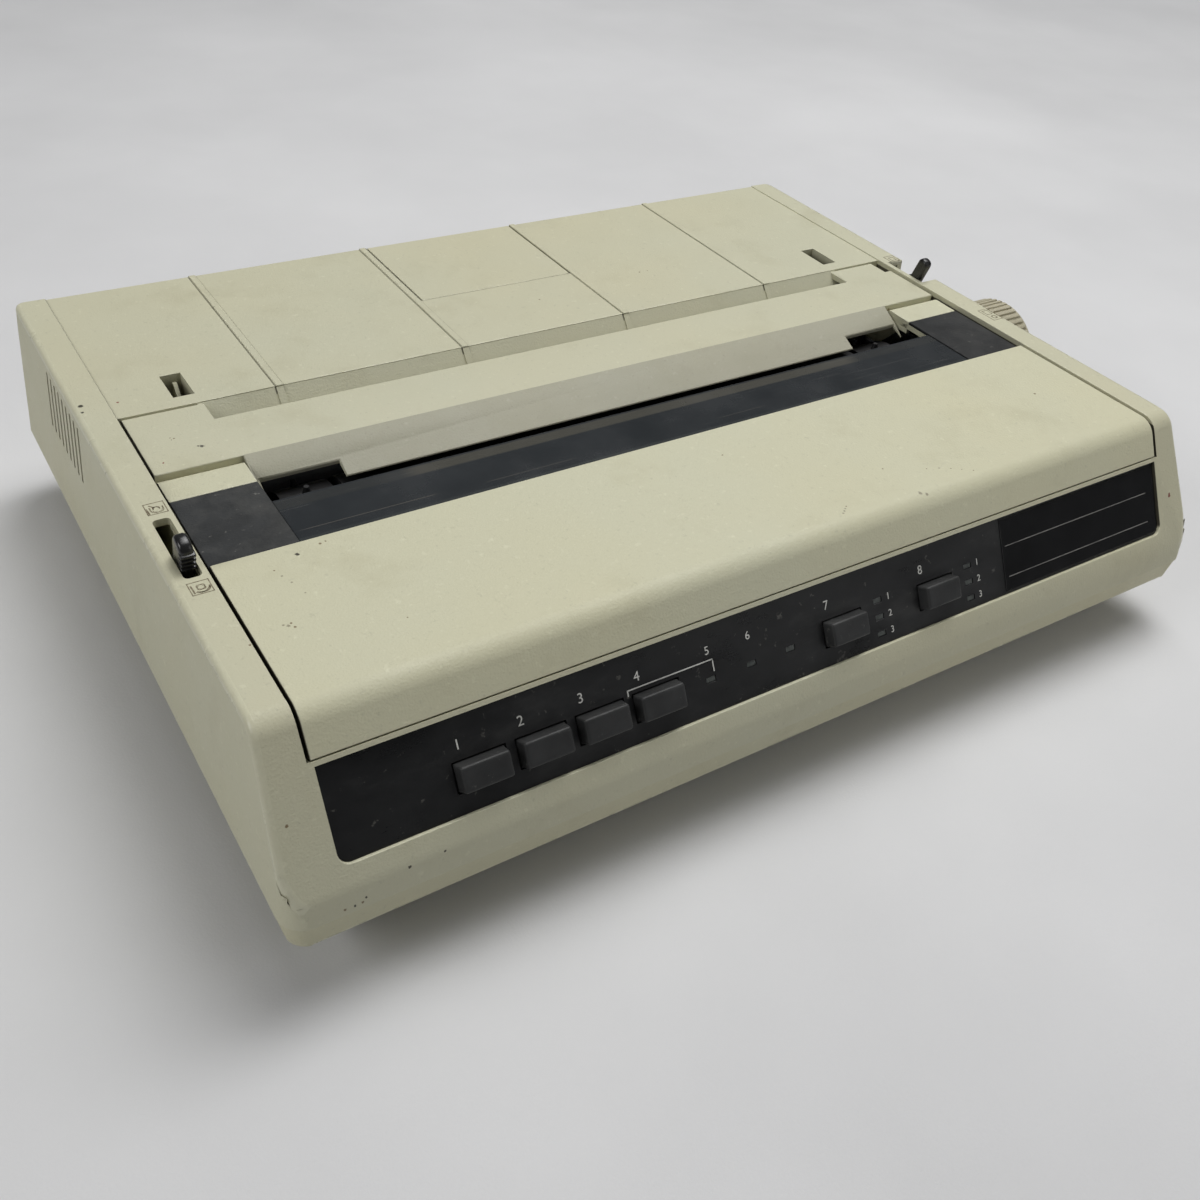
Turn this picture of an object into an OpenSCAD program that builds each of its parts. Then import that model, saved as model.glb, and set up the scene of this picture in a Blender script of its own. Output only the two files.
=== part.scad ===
// Low desktop dot matrix printer with a pin-feed platen, a hinged front cover and a smoked window.
// X runs to the right, Y to the back and Z up. The table is z = 0, and x = 0, y = 0 is the middle of
// the whole printer's outline with its platen knob. Inside in_case() x = 0 is the middle of the case.

/* [Case] */
// Width of the case at its parting line
case_w = 368; // [360:1:380]
// Depth of the case at its parting line
case_d = 277; // [272:1:290]
// Height of the side strips above the table
case_h = 80; // [78:0.5:90]
// Height of the upper case, from the parting line to the top of the strips
upper_h = 51.5; // [50.5:0.5:53]
// How far each wall leans in from the parting line to the top
draft_in = 4.5; // [3:0.25:5]
// Wall thickness of the mouldings
wall = 2.5; // [2:0.1:3]
// Distance from the case's widest line in to the opening between the side strips
strip_w = 15.8; // [15:0.1:16.4]
// Angle of the front face from the level
slope = 60.2; // [58:0.2:62]
// Distance from the front of the case back to the front bend
bend_in = 26.4; // [25:0.2:28]
// Radius of the front bend
bend_r = 8; // [6:0.5:9]
// How far below the strips the front face meets the front lip
lip_drop = 43.8; // [42.5:0.1:45]
// How much lower the rear deck lies than the strips
deck_drop = 0.5; // [0.5:0.1:0.8]
// Distance from the case's middle back to the front wall of the rear deck
deck_y = 40.2; // [39:0.2:42]
// Width of a rib on the rear deck
rib_w = 2.6; // [2:0.1:3]
// Distance from rib to rib
rib_pitch = 72.1; // [70:0.1:73]
// Height of the rubber feet
foot_h = 7; // [6:0.5:8]
// Radius of the rubber feet
foot_r = 8.5; // [7:0.5:9.5]
// Height of the lower case's upright band
band_h = 9.2; // [8:0.2:10]
// How far the upright band leans in
band_in = 1.8; // [1:0.1:2.5]
// Radius of the case's upright corners at the parting line
corner_r = 8; // [6:0.5:10]

/* [Openings] */
// Number of vent slits in each side wall
vent_count = 9; // [5:1:11]
// Distance from slit to slit
vent_pitch = 5; // [4.5:0.1:6]
// Width of a vent slit
vent_w = 1.8; // [1.4:0.1:2.4]
// Length of a vent slit
vent_len = 21; // [15:1:24]
// Width of a latch slot in the deck
latch_w = 7.1; // [5:0.1:8]
// Depth of a latch slot in the deck, front to back
latch_len = 15.7; // [12:0.1:17]
// Distance from the bay's side in to a latch slot's middle
latch_in = 23.8; // [20:0.2:26]
// Distance from the bay's side in to the end of the paper slot
slot_in = 28.4; // [27.4:0.2:30]
// Width of the rear hatch
hatch_w = 68; // [60:1:69]
// Depth of the rear hatch on the deck
hatch_d = 53; // [45:1:60]

/* [Operator panel] */
// Distance from the bay's side in to the end of the panel
panel_side = 1.6; // [1.2:0.1:2.6]
// Length of the panel down the front face
panel_len = 28; // [27:0.2:28.6]
// How far the panel's top edge lies below the strips
panel_drop = 13.7; // [13:0.1:15]
// How deep the panel lies below the front face
panel_sink = 1.2; // [0.8:0.1:1.6]
// Thickness of the panel
panel_t = 1.8; // [1.4:0.1:2.2]
// Width of a button cap
button_w = 15.6; // [13:0.1:16]
// Length of a button cap down the front face
button_len = 8.2; // [7:0.1:9]
// How far a button stands out of the panel
button_out = 4.2; // [3.4:0.1:4.6]
// Travel of a button
button_travel = 1.6; // [1:0.1:1.8]
// Clearance round a button
button_gap = 0.5; // [0.4:0.05:0.7]

/* [Access cover] */
// Distance from the case's middle forward to the cover's rear edge between the ears
cover_rear = 47.1; // [46:0.1:48]
// Thickness of the cover
cover_t = 2.2; // [1.8:0.1:2.5]
// How much lower the cover's front part lies than the strips
cover_drop = 0.5; // [0.5:0.1:0.8]
// How much lower the ears and black ends lie than the strips
ear_drop = 2; // [1.8:0.1:2.2]
// Gap between the cover and the strips
cover_gap = 1; // [0.8:0.1:1.2]
// Distance from the bay's side in to the inner side of an ear
ear_w = 28.4; // [28:0.1:29.2]
// Radius of the hinge barrel
barrel_r = 3.6; // [3.2:0.1:3.8]
// Radius of the hinge pin
pin_r = 1.5; // [1.2:0.1:1.8]
// Distance from the ears' front edge forward of the case's middle
cap_rear = 10.4; // [9:0.1:12]
// Distance from the case's middle forward to the window's rear edge
window_rear = 22.9; // [22:0.1:24]
// Thickness of the window
window_t = 2; // [1.6:0.1:2.4]

/* [Guide bar] */
// Distance from the case's middle back to the bar's front top edge
bar_front = 4.1; // [3.6:0.1:4.6]
// Distance from the case's middle back to the edge of the bar's rear notch
bar_rear = 29; // [28:0.2:30]
// How much lower the bar lies than the strips
bar_drop = 1.1; // [1:0.1:1.4]
// Distance from the case's middle forward to the bar's lower front edge
nose_y = 13.5; // [12:0.1:14.5]
// How far the bar's nose drops
nose_drop = 4.9; // [4:0.1:5.5]

/* [Platen and feed] */
// Pins round each pin wheel
pin_count = 8; // [8:1:8]
// Distance from pin to pin along the paper
pin_pitch = 12.7; // [12.6:0.01:12.7]
// Distance from the case's middle forward to the platen's axis
platen_y = 9.4; // [9:0.1:9.8]
// How far the platen's axis lies below the strips
platen_drop = 27.5; // [27:0.1:28]
// Distance from a pin wheel's pins in to the end of the rubber platen
platen_in = 12; // [11:0.5:18]
// Radius of the platen's shaft
platen_shaft_r = 4; // [3.5:0.1:4.5]
// Distance from a side frame in to a pin wheel's pins
pins_in = 32; // [31.5:0.1:32.5]
// Width of a pin wheel
wheel_w = 18; // [12:0.5:19]
// Height of a feed pin
feed_pin_h = 2.2; // [1.5:0.1:2.2]
// Radius of the platen knob
knob_r = 22.5; // [20:0.5:23]
// How far the knob stands out of the case's widest line
knob_out = 18; // [16:0.5:20]
// Module of the feed gears
gear_m = 0.8; // [0.78:0.01:0.8]
// Teeth of the platen gear
platen_teeth = 44; // [44:2:44]
// Teeth of the idler gear
idler_teeth = 44; // [44:2:44]
// Teeth of the motor pinion
pinion_teeth = 12; // [12:2:12]
// Width of the feed gears
gear_w = 3.6; // [3:0.2:4]
// Backlash cut from each tooth
backlash = 0.16; // [0.12:0.02:0.2]

/* [Bail and release] */
// Distance from the case's middle forward to the bail shaft
bail_y = 26.5; // [26.3:0.1:26.7]
// How far the bail shaft lies below the strips
bail_drop = 13; // [12.8:0.1:13.2]
// Radius of the bail shaft
bail_r = 1.75; // [1.5:0.05:2]
// Width of a bail roller
bail_roller_w = 18; // [14:1:20]
// Distance from bail roller to bail roller
bail_roller_pitch = 79; // [70:1:84]
// Distance from the case's middle forward to the bail lever's pivot
bail_lever_y = 36; // [35.5:0.1:36.5]
// Distance from the case's middle back to the release lever's pivot
release_lever_y = 25; // [24.5:0.1:25.5]
// How far both lever pivots lie below the strips
lever_drop = 18; // [17.5:0.1:18.5]
// Angle that each lever leans forward at rest
lever_lean = 18; // [17:0.5:19]
// How far the lever grips stand above the strips
grip_h = 9; // [7:0.5:10]
// Width of the lever grips, front to back
grip_w = 8; // [7:0.2:8.4]
// Radius of the pressure rollers
press_r = 6; // [5.8:0.1:6.1]
// Number of pressure rollers
press_count = 4; // [4:1:4]

/* [Carriage] */
// Distance from a pin wheel's pins in to the end of a printed line
line_in = 22.4; // [22.4:0.2:29]
// Distance from the case's middle forward to the guide shaft
guide_y = 58; // [57.5:0.1:58.5]
// How far the guide shaft lies below the platen's axis
guide_drop = 22.5; // [22:0.1:23]
// Radius of the guide shaft
guide_r = 4; // [3.5:0.1:4.5]
// Module of the rack
rack_m = 1; // [0.95:0.01:1]
// Teeth of the rack's pinion
space_teeth = 14; // [14:1:14]
// Distance from the case's middle forward to the rack's pitch line
rack_y = 95; // [94.5:0.1:95.5]
// Radial clearance of running fits
run_gap = 0.05; // [0.02:0.01:0.08]

/* [Rear] */
// Width of the power inlet's opening
inlet_w = 27; // [26:0.2:28]
// Height of the power inlet's opening
inlet_h = 20; // [19:0.2:21]
// Distance from the case's side in to the power inlet
inlet_in = 44; // [42:1:48]
// Width of the parallel connector's opening
port_w = 70; // [66:1:72]
// Height of the rear openings' middle above the parting line
port_up = 14.5; // [13.5:0.5:15.5]
// Distance from the case's back forward to the power switch
switch_in = 46.5; // [38:0.5:52]

/* [Hidden] */
$fn = 64;
eps = 0.01;
cut = 40;
case_x = -knob_out / 2;
half_d = case_d / 2;
part_z = case_h - upper_h;
lip_z = case_h - lip_drop;
bay_w = case_w - 2 * strip_w;
bay_x = bay_w / 2;
panel_w = bay_w - 2 * panel_side;
panel_z = case_h - panel_drop;
ear_gap = bay_w - 2 * ear_w;
platen_z = case_h - platen_drop;
bail_z = case_h - bail_drop;
lever_z = case_h - lever_drop;
guide_z = platen_z - guide_drop;
port_z = part_z + port_up;
switch_y = half_d - switch_in;
inlet_x = inlet_in - case_w / 2;
frame_in = 28;
frame_x = case_w / 2 - frame_in;
wheel_x = frame_x - pins_in;
platen_len = 2 * (wheel_x - platen_in);
travel = 2 * (wheel_x - line_in);

// ---- walls that lean: half width and rear face of the case at a height ----
function lean(z) = draft_in * (z - part_z) / (case_h - part_z);
function half_w(z) = case_w / 2 - lean(z);
function back_y(z) = half_d - lean(z);
// ---- the sloped front face: its y at a height, and a point s down it and w out of it ----
crease_y = bend_in - half_d;
function slope_y(z) = crease_y - (case_h - z) / tan(slope);
function slope_pt(s, w) = [
    slope_y(panel_z) - s * cos(slope) - w * sin(slope),
    panel_z - s * sin(slope) + w * cos(slope)
];
function arc(c, r, a0, a1, n) = [
    for (i = [0:n]) let(a = a0 + (a1 - a0) * i / n) [c[0] + r * cos(a), c[1] + r * sin(a)]
];
// The front bend of a surface whose top lies at height h, moved in by t
function bend(h, t) = let(r = bend_r, y = slope_y(h) + r * tan(slope / 2))
    arc([y, h - r], r - t, 90 + slope, 90, 8);

// ---- placing helpers ----
module in_case() translate([case_x, 0, 0]) children();
module along_x(x0, x1) translate([x0, 0, 0]) rotate([90, 0, 90]) linear_extrude(x1 - x0) children();
module along_y(y0, y1) translate([0, y1, 0]) rotate([90, 0, 0]) linear_extrude(y1 - y0) children();
module on_slope() translate([0, slope_y(panel_z), panel_z]) rotate([slope, 0, 0]) children();
module rod_x(x0, x1, y, z, r) translate([x0, y, z]) rotate([0, 90, 0]) cylinder(h = x1 - x0, r = r);
module box(lo, hi) translate(lo) cube(hi - lo);
module both_sides() {
    children();
    mirror([1, 0, 0]) children();
}
module both_ends() {
    children();
    mirror([0, 1, 0]) children();
}
module sector(r, a0, a1) polygon(concat([[0, 0]], arc([0, 0], r, a0, a1, 6)));

// ---- gears ----
function inv_angle(a) = tan(a) * 180 / PI - a;
// One flank point of an involute tooth: radius and half angle
function flank(r, rb, rp, half) = let(rr = max(r, rb + eps))
    [r, half + inv_angle(acos(rb / rp)) - inv_angle(acos(rb / rr))];
function tooth(m, n, lash) = let(
    rp = m * n / 2, rb = rp * cos(20),
    half = 90 / n - lash / rp * 90 / PI,
    f = [for (r = [rp - 1.2 * m, rp - 0.45 * m, rp, rp + 0.5 * m, rp + m]) flank(r, rb, rp, half)]
) concat([for (p = f) [p[0], -p[1]]], [for (i = [len(f) - 1:-1:0]) f[i]]);
module gear(m, n, w, bore, phase = 0) difference() {
    linear_extrude(w) polygon([
        for (k = [0:n - 1]) for (p = tooth(m, n, backlash))
            let(a = phase + k * 360 / n + p[1]) [p[0] * cos(a), p[0] * sin(a)]
    ]);
    translate([0, 0, -1]) cylinder(h = w + 2, r = bore);
}
module gear_x(x, y, z, m, n, w, bore, phase) translate([x, y, z]) rotate([90, 0, 90])
    gear(m, n, w, bore, phase);

// =================================================================== case
function upper_outline(t, low) = concat(
    [[t - half_d, low], [slope_y(lip_z) + t / sin(slope), lip_z]],
    bend(case_h, t),
    [[back_y(case_h) - t, case_h - t], [back_y(part_z) - t, low]]
);
// Cuts the four upright corners round between two heights. A cone touches both leaning walls.
module corner_cut(z0, z1, in0, in1, t) both_sides() both_ends()
    translate([case_w / 2 - corner_r, half_d - corner_r, z0]) difference() {
        cube([corner_r + 1, corner_r + 1, z1 - z0]);
        // the cone runs past both ends of the cut at its own slope
        past = (in0 - in1) / (z1 - z0);
        translate([0, 0, -1]) cylinder(h = z1 - z0 + 2,
            r1 = max(eps, corner_r - in0 - t + eps - past), r2 = corner_r - in1 - t + eps + past);
    }
module upper_solid(t, low = part_z) difference() {
    intersection() {
        along_x(-case_w / 2, case_w / 2) polygon(upper_outline(t, low));
        along_y(-half_d, half_d) polygon([
            [t - half_w(part_z), low], [t - half_w(case_h), case_h - t],
            [half_w(case_h) - t, case_h - t], [half_w(part_z) - t, low]
        ]);
    }
    corner_cut(part_z, case_h, 0, draft_in, min(t, corner_r - draft_in - 0.5));
}
band_z = part_z - band_h;
base_in = band_z - foot_h;
reveal = 0.3;
tip_h = corner_r - band_in - 1.1;
function lower_outline(half, t) = [
    [t - half + reveal, part_z + (t > 0 ? 1 : 0)], [t - half + band_in, band_z],
    [t - half + band_in + base_in, foot_h + t], [half - band_in - base_in - t, foot_h + t],
    [half - band_in - t, band_z], [half - reveal - t, part_z + (t > 0 ? 1 : 0)]
];
module lower_solid(t) difference() {
    intersection() {
        along_x(-case_w / 2, case_w / 2) polygon(lower_outline(half_d, t));
        along_y(-half_d, half_d) polygon(lower_outline(case_w / 2, t));
    }
    corner_cut(band_z, part_z + (t > 0 ? 1 : 0), band_in, reveal, t);
    // below the band the same corners run out to a point
    if (t == 0) corner_cut(band_z - tip_h, band_z, corner_r - 1.1, band_in, 0);
}
floor_z = foot_h + wall;
foot_x = case_w / 2 - 34;
foot_front = half_d - 37.5;
foot_back = half_d - 35.5;
screw_x = case_w / 2 - 23;
screw_front = half_d - 22.5;
screw_back = half_d - 20.5;
screw_r = 1.5;
boss_r = 4.5;
boss_h = 26;
screw_bite = 21;
module at_screws() for (x = [-screw_x, screw_x], y = [-screw_front, screw_back])
    translate([x, y, 0]) children();

module lower_case() color("#B9B79E") in_case() difference() {
    union() {
        difference() {
            lower_solid(0);
            lower_solid(wall);
        }
        at_screws() translate([0, 0, foot_h]) cylinder(h = part_z - foot_h, r = boss_r);
        for (x = [board_x0 + 6, board_x1 - 6], y = [board_y0 + 6, board_y1 - 6])
            box([x - 3, y - 3, foot_h + 1], [x + 3, y + 3, board_z]);
        for (x = [power_x0 + 6, power_x1 - 6], y = [board_y0 + 6, board_y1 - 6])
            box([x - 3, y - 3, foot_h + 1], [x + 3, y + 3, board_z]);
    }
    at_screws() {
        translate([0, 0, foot_h - 1]) cylinder(h = part_z, r = screw_r + 0.4);
        translate([0, 0, foot_h - 1]) cylinder(h = 1 + screw_head_h, r = 3.6);
    }
}

module feet() color("#2A2A2A") in_case()
    for (x = [-foot_x, foot_x], y = [-foot_front, foot_back])
        translate([x, y, 0]) rotate_extrude() polygon([
            [0, 1], [foot_r - 3, 1], [foot_r - 3, 0], [foot_r - 1, 0], [foot_r - 0.4, 0.8],
            [foot_r, foot_h], [0, foot_h]
        ]);

rail_t = 2;
rail_z = case_h - 22;
deck_z = case_h - deck_drop;
slot_x = bay_x - slot_in;
rib_mid = -5.15;
under_z = case_h - wall;
function rib_x(i) = rib_mid + (i - 1.5) * rib_pitch;
hatch_x1 = rib_x(2) - rib_w / 2 - 0.4;
hatch_x0 = hatch_x1 - hatch_w;
hatch_y0 = back_y(case_h) - hatch_d;
hatch_z = case_h - 22;
hatch_gap = 0.4;
vent_y = half_d - 52.8;
latch_x = bay_x - latch_in;
vent_z = case_h - 4;
lever_x = bay_x + 4.4;
lever_t = 3.8;
lever_slot_w = 5.3;
slot_r = 1.5;
bail_slot = [-bail_lever_y - 14.9, -bail_lever_y + 15.6];
release_slot = [release_lever_y - 11, release_lever_y + 11];
ledge_in = 3;
ledge_z = case_h - bar_drop - wall;
pivot_z = case_h - ear_drop - barrel_r;
pivot_y = bar_front - 0.4 - barrel_r;
cover_lip = 1.4;
lip_top = slope_pt(-cover_lip, 0);

// The cover and the bar lie in the bay. It stops at the deck and at the panel's top lip.
module bay_cut() along_x(-bay_x, bay_x) polygon([
    [deck_y, rail_z - 10], [deck_y, case_h + 5], [slope_pt(-cover_lip, 12)[0], case_h + 5],
    slope_pt(-cover_lip, 12), slope_pt(-cover_lip, -9), [slope_pt(-cover_lip, -9)[0], rail_z - 10]
]);
module side_rails() intersection() {
    upper_solid(eps, rail_z);
    both_sides() box([bay_x, -half_d, rail_z], [bay_x + rail_t, deck_y + wall, case_h]);
}
module bar_ledges() both_sides()
    box([bay_x - ledge_in, bar_front + 6, ledge_z - wall], [bay_x + eps, deck_y + eps, ledge_z]);
module deck_wall() box([-bay_x - eps, deck_y, rail_z], [bay_x + eps, deck_y + wall, deck_z]);
module panel_frame() intersection() {
    upper_solid(eps);
    on_slope() box([-bay_x - 1, -panel_len - 2.2, -5.6], [bay_x + 1, cover_lip, 5]);
}
module panel_cut() on_slope() {
    depth = panel_sink + panel_t;
    r = 3.5;
    translate([0, 0, -depth]) linear_extrude(cut) difference() {
        translate([-panel_w / 2, -panel_len]) square([panel_w, panel_len]);
        both_sides() translate([panel_w / 2 - r, -panel_len + r]) difference() {
            translate([0, -r]) square([r + 1, r]);
            circle(r);
        }
    }
    box([-panel_w / 2 + 8, -panel_len + 2, -9], [panel_w / 2 - 8, -3, 0]);
}
// A flat slab shape with rounded corners, from one corner to the other
module rounded(lo, hi, r) {
    translate(lo + [r, 0]) square(hi - lo - [2 * r, 0]);
    translate(lo + [0, r]) square(hi - lo - [0, 2 * r]);
    for (x = [lo[0] + r, hi[0] - r], y = [lo[1] + r, hi[1] - r]) translate([x, y]) circle(r);
}
module vent_cut() along_x(half_w(case_h) - wall - 3, case_w / 2 + 1) for (i = [0:vent_count - 1])
    translate([vent_y - i * vent_pitch, vent_z - vent_len])
        rounded([-vent_w / 2, 0], [vent_w / 2, vent_len], vent_w / 2 - eps);
latch_d = 14;
module latch_well(grow) both_sides()
    translate([latch_x - latch_w / 2 - grow, deck_y + 6 - grow, deck_z - latch_d - grow])
        cube([latch_w + 2 * grow, latch_len + 2 * grow, latch_d + 5]);
module deck_ribs() intersection() {
    upper_solid(0);
    for (i = [0:3]) translate([rib_x(i) - rib_w / 2, deck_y - deck_drop, deck_z - 20])
        cube([rib_w, half_d, 20 + deck_drop]);
}
module hatch_space(grow) box(
    [hatch_x0 - grow, hatch_y0 - grow, hatch_z - grow], [hatch_x1 + grow, half_d + 1, case_h + 1]);
module upper_bosses() {
    for (x = [-screw_x, screw_x]) {
        translate([x, screw_back, part_z]) cylinder(h = deck_z - part_z - 1, r = boss_r);
        translate([x, -screw_front, part_z]) cylinder(h = boss_h, r = boss_r);
        box([x - 1.5, -half_d + 3, part_z + 4], [x + 1.5, -screw_front, part_z + boss_h]);
    }
}
module upper_holes() {
    both_sides() rod_x(bay_x - 1, bay_x + rail_t + 1, pivot_y, pivot_z, pin_r + run_gap);
    at_screws() translate([0, 0, part_z - 1]) cylinder(h = screw_bite + 1, r = screw_r);
    rod_x(case_w / 2 - 10, case_w / 2 + 2, -platen_y, platen_z, platen_shaft_r + 3);
    translate([-lever_x, 0, under_z - 1]) linear_extrude(wall + 2)
        rounded([-lever_slot_w / 2, bail_slot[0]], [lever_slot_w / 2, bail_slot[1]], slot_r);
    box([lever_x - lever_slot_w / 2 + 0.6, release_slot[0], case_h - 7],
        [case_w / 2 + 1, release_slot[1], case_h + 1]);
    box([inlet_x - inlet_w / 2, back_y(port_z) - 5, port_z - inlet_h / 2],
        [inlet_x + inlet_w / 2, half_d + 1, port_z + inlet_h / 2]);
    box([port_x - port_w / 2, back_y(port_z) - 5, port_z - port_h / 2],
        [port_x + port_w / 2, half_d + 1, port_z + port_h / 2]);
    box([half_w(case_h) - 6, switch_y - rocker_w / 2 - 1, port_z - rocker_h / 2 - 1],
        [case_w / 2 + 1, switch_y + rocker_w / 2 + 1, port_z + rocker_h / 2 + 1]);
}

module upper_case() color("#C4C2A9") in_case() difference() {
    union() {
        difference() {
            upper_solid(0);
            upper_solid(wall, part_z - 1);
            bay_cut();
            translate([0, 0, deck_z]) box([-bay_x, deck_y - 1, 0], [bay_x, half_d, 5]);
            hatch_space(hatch_gap);
        }
        side_rails();
        bar_ledges();
        deck_wall();
        panel_frame();
        deck_ribs_outside_hatch();
        intersection() {
            latch_well(1.6);
            box([-bay_x, 0, 0], [bay_x, half_d, under_z + eps]);
        }
        hatch_ledges();
        lever_studs();
        intersection() {
            upper_solid(eps);
            upper_bosses();
        }
    }
    panel_cut();
    both_sides() vent_cut();
    latch_well(0);
    upper_holes();
}
module deck_ribs_outside_hatch() difference() {
    deck_ribs();
    hatch_space(hatch_gap);
}
// The hatch rests on a ledge that frames its opening
module hatch_ledges() difference() {
    box([hatch_x0 - 3, hatch_y0 - 3, under_z - wall], [hatch_x1 + 3, back_y(case_h) - wall, under_z]);
    box([hatch_x0 + 2.5, hatch_y0 + 2.5, 0], [hatch_x1 - 2.5, half_d, case_h]);
}
// Studs on the outer faces of the side rails carry the two levers
stud_r = 2.5;
module lever_studs() {
    rod_x(-lever_x - lever_t / 2, -bay_x - 1, -bail_lever_y, lever_z, stud_r);
    rod_x(bay_x + 1, lever_x + lever_t / 2, release_lever_y, lever_z, stud_r);
}

module rear_hatch() color("#C4C2A9") in_case() {
    intersection() {
        difference() {
            upper_solid(0);
            upper_solid(wall);
            translate([0, 0, deck_z]) box([-bay_x, deck_y, 0], [bay_x, half_d, 5]);
        }
        hatch_space(0);
    }
    // finger ridge under the rear edge
    rear = back_y(hatch_z) - wall;
    box([hatch_x0 + 8, rear - 1.4, hatch_z], [hatch_x1 - 8, rear + eps, hatch_z + 2]);
}

// =================================================================== guide bar
bar_z = case_h - bar_drop;
bar_x = bay_x - cover_gap;
nose_x = ear_gap / 2 - 0.6;
notch_x = [nose_x - 28.7, nose_x - 1.7];
notch_d = 7;
nose_z = bar_z - nose_drop;
bar_skirt = 12;
module bar_top_2d() difference() {
    translate([-bar_x, bar_front]) square([2 * bar_x, deck_y - 0.3 - bar_front]);
    translate([-slot_x, bar_rear]) square([2 * slot_x, deck_y]);
    translate([bar_x - 3.4, bar_rear + 1.5]) square([9, deck_y]);
}
module guide_bar() color("#C4C2A9") in_case() difference() {
    union() {
        translate([0, 0, bar_z - wall]) linear_extrude(wall) bar_top_2d();
        along_x(-nose_x, nose_x) polygon([
            [bar_front + 2, bar_z], [bar_front, bar_z], [-nose_y, nose_z],
            [-nose_y + 0.6, nose_z - 2], [bar_front, bar_z - wall], [bar_front + 2, bar_z - wall]
        ]);
        both_sides() box([nose_x - eps, bar_front, bar_z - bar_skirt + 3], [bar_x, bar_front + 2, bar_z]);
        box([-slot_x, bar_rear - 2, bar_z - bar_skirt], [slot_x, bar_rear, bar_z]);
        for (x = [-90, -45, 0, 45, 90])
            box([x - 0.9, bar_front, bar_z - 5.5], [x + 0.9, bar_rear - 1, bar_z - 1]);
    }
    both_sides() box([notch_x[0], -nose_y - 1, 0], [notch_x[1], -nose_y + notch_d, case_h]);
}

// =================================================================== access cover
cover_x = bay_x - cover_gap;
cover_z = case_h - cover_drop;
ear_z = case_h - ear_drop;
ear_x = ear_gap / 2;
cap_t = 1.2;
arm_t = 2;
arm_z = ear_z - cap_t - arm_t;
window_x = ear_x - 0.1;
window_z = ear_z - 0.4;
skirt_t = 10;
function cover_outline(t) = concat(
    [[-cover_rear, cover_z]],
    [for (i = [8:-1:0]) bend(cover_z, 0)[i]],
    [slope_pt(-cover_lip - 0.4, 0), slope_pt(-cover_lip - 0.4, -t)],
    bend(cover_z, min(t, bend_r - 1)),
    [[-cover_rear, cover_z - t]]
);
module access_cover() color("#C4C2A9") in_case() {
    difference() {
        union() {
            along_x(-cover_x, cover_x) polygon(cover_outline(cover_t));
            both_sides() along_x(cover_x - cover_t, cover_x) polygon(cover_outline(skirt_t));
            box([-cover_x, -cover_rear - 1.8, arm_z], [cover_x, -cover_rear, cover_z - eps]);
            both_sides() {
                box([ear_x, -cover_rear - 1.8, arm_z], [cover_x, pivot_y, arm_z + arm_t]);
                box([ear_x, -cap_rear, arm_z], [cover_x, pivot_y, ear_z]);
                rod_x(ear_x, cover_x, pivot_y, pivot_z, barrel_r);
                rod_x(cover_x - 1, cover_x + cover_gap + rail_t - 0.6, pivot_y, pivot_z, pin_r);
            }
            for (x = [-110, -55, 0, 55, 110])
                along_x(x - 0.8, x + 0.8) polygon(cover_outline(cover_t + 0.8));
        }
        // the ears' inner faces stay clear of the bar's nose
        box([-ear_x, -cap_rear, 0], [ear_x, half_d, case_h]);
    }
}
module cover_end_caps() color("#3A3B3B") in_case() both_sides()
    box([ear_x, -cover_rear + eps, ear_z - cap_t], [cover_x, -cap_rear - 0.05, ear_z]);
module cover_window() color("#363B40", 0.8) in_case() {
    rear = -window_rear;
    along_x(-window_x, window_x) polygon([
        [-cover_rear, window_z], [rear + 1, window_z], [rear + 1, window_z - 0.6], [rear, window_z - 0.6],
        [rear, window_z - 4.5], [rear - window_t, window_z - 4.5], [rear - window_t, window_z - window_t],
        [-cover_rear, window_z - window_t]
    ]);
}

// =================================================================== operator panel
left_x = -panel_w / 2;
button_x0 = left_x + 43.9;
button_pitch = 19.4;
button_xs = [
    button_x0, button_x0 + button_pitch, button_x0 + 2 * button_pitch, button_x0 + 3 * button_pitch,
    button_x0 + 130.8, button_x0 + 172.4
];
button_s = 17.3;
led_w = 3.6;
led_len = 1.8;
led_x0 = left_x + 121.6;
led_gap = 15.6;
led_s = 12.7;
led_step = 5.7;
led_spots = concat(
    [for (i = [0:2]) [led_x0 + 15.5 * i, button_s]],
    [for (i = [0:2]) [button_xs[4] + led_gap, led_s + led_step * i]],
    [for (i = [0:2]) [button_xs[5] + led_gap, led_s + led_step * i]]
);
plate_x0 = left_x + 249.1;
panel_fit = 0.1;
depth_top = panel_sink;
module operator_panel() color("#151716") in_case() on_slope() difference() {
    w = panel_w - 2 * panel_fit;
    translate([0, 0, -depth_top - panel_t]) linear_extrude(panel_t) difference() {
        translate([-w / 2, -panel_len + panel_fit]) square([w, panel_len - 2 * panel_fit]);
        both_sides() translate([w / 2 - 3.5, -panel_len + panel_fit + 3.5]) difference() {
            translate([0, -3.5]) square([4.5, 3.5]);
            circle(3.5);
        }
    }
    for (x = button_xs) box(
        [x - button_w / 2 - button_gap, -button_s - button_len / 2 - button_gap, -9],
        [x + button_w / 2 + button_gap, -button_s + button_len / 2 + button_gap, 1]);
    for (p = led_spots)
        box([p[0] - led_w / 2, -p[1] - led_len / 2, -9], [p[0] + led_w / 2, -p[1] + led_len / 2, 1]);
}
module name_plate() color("#101111") in_case() on_slope()
    box([plate_x0, -panel_len + 1.2, -depth_top], [panel_w / 2 - 1, -1, -depth_top + 0.3]);
module led_lenses() color("#4A504C") in_case() on_slope() for (p = led_spots)
    box([p[0] - led_w / 2 + 0.05, -p[1] - led_len / 2 + 0.05, -depth_top - panel_t],
        [p[0] + led_w / 2 - 0.05, -p[1] + led_len / 2 - 0.05, -depth_top - 0.2]);
board_sink = 8.4;
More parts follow.
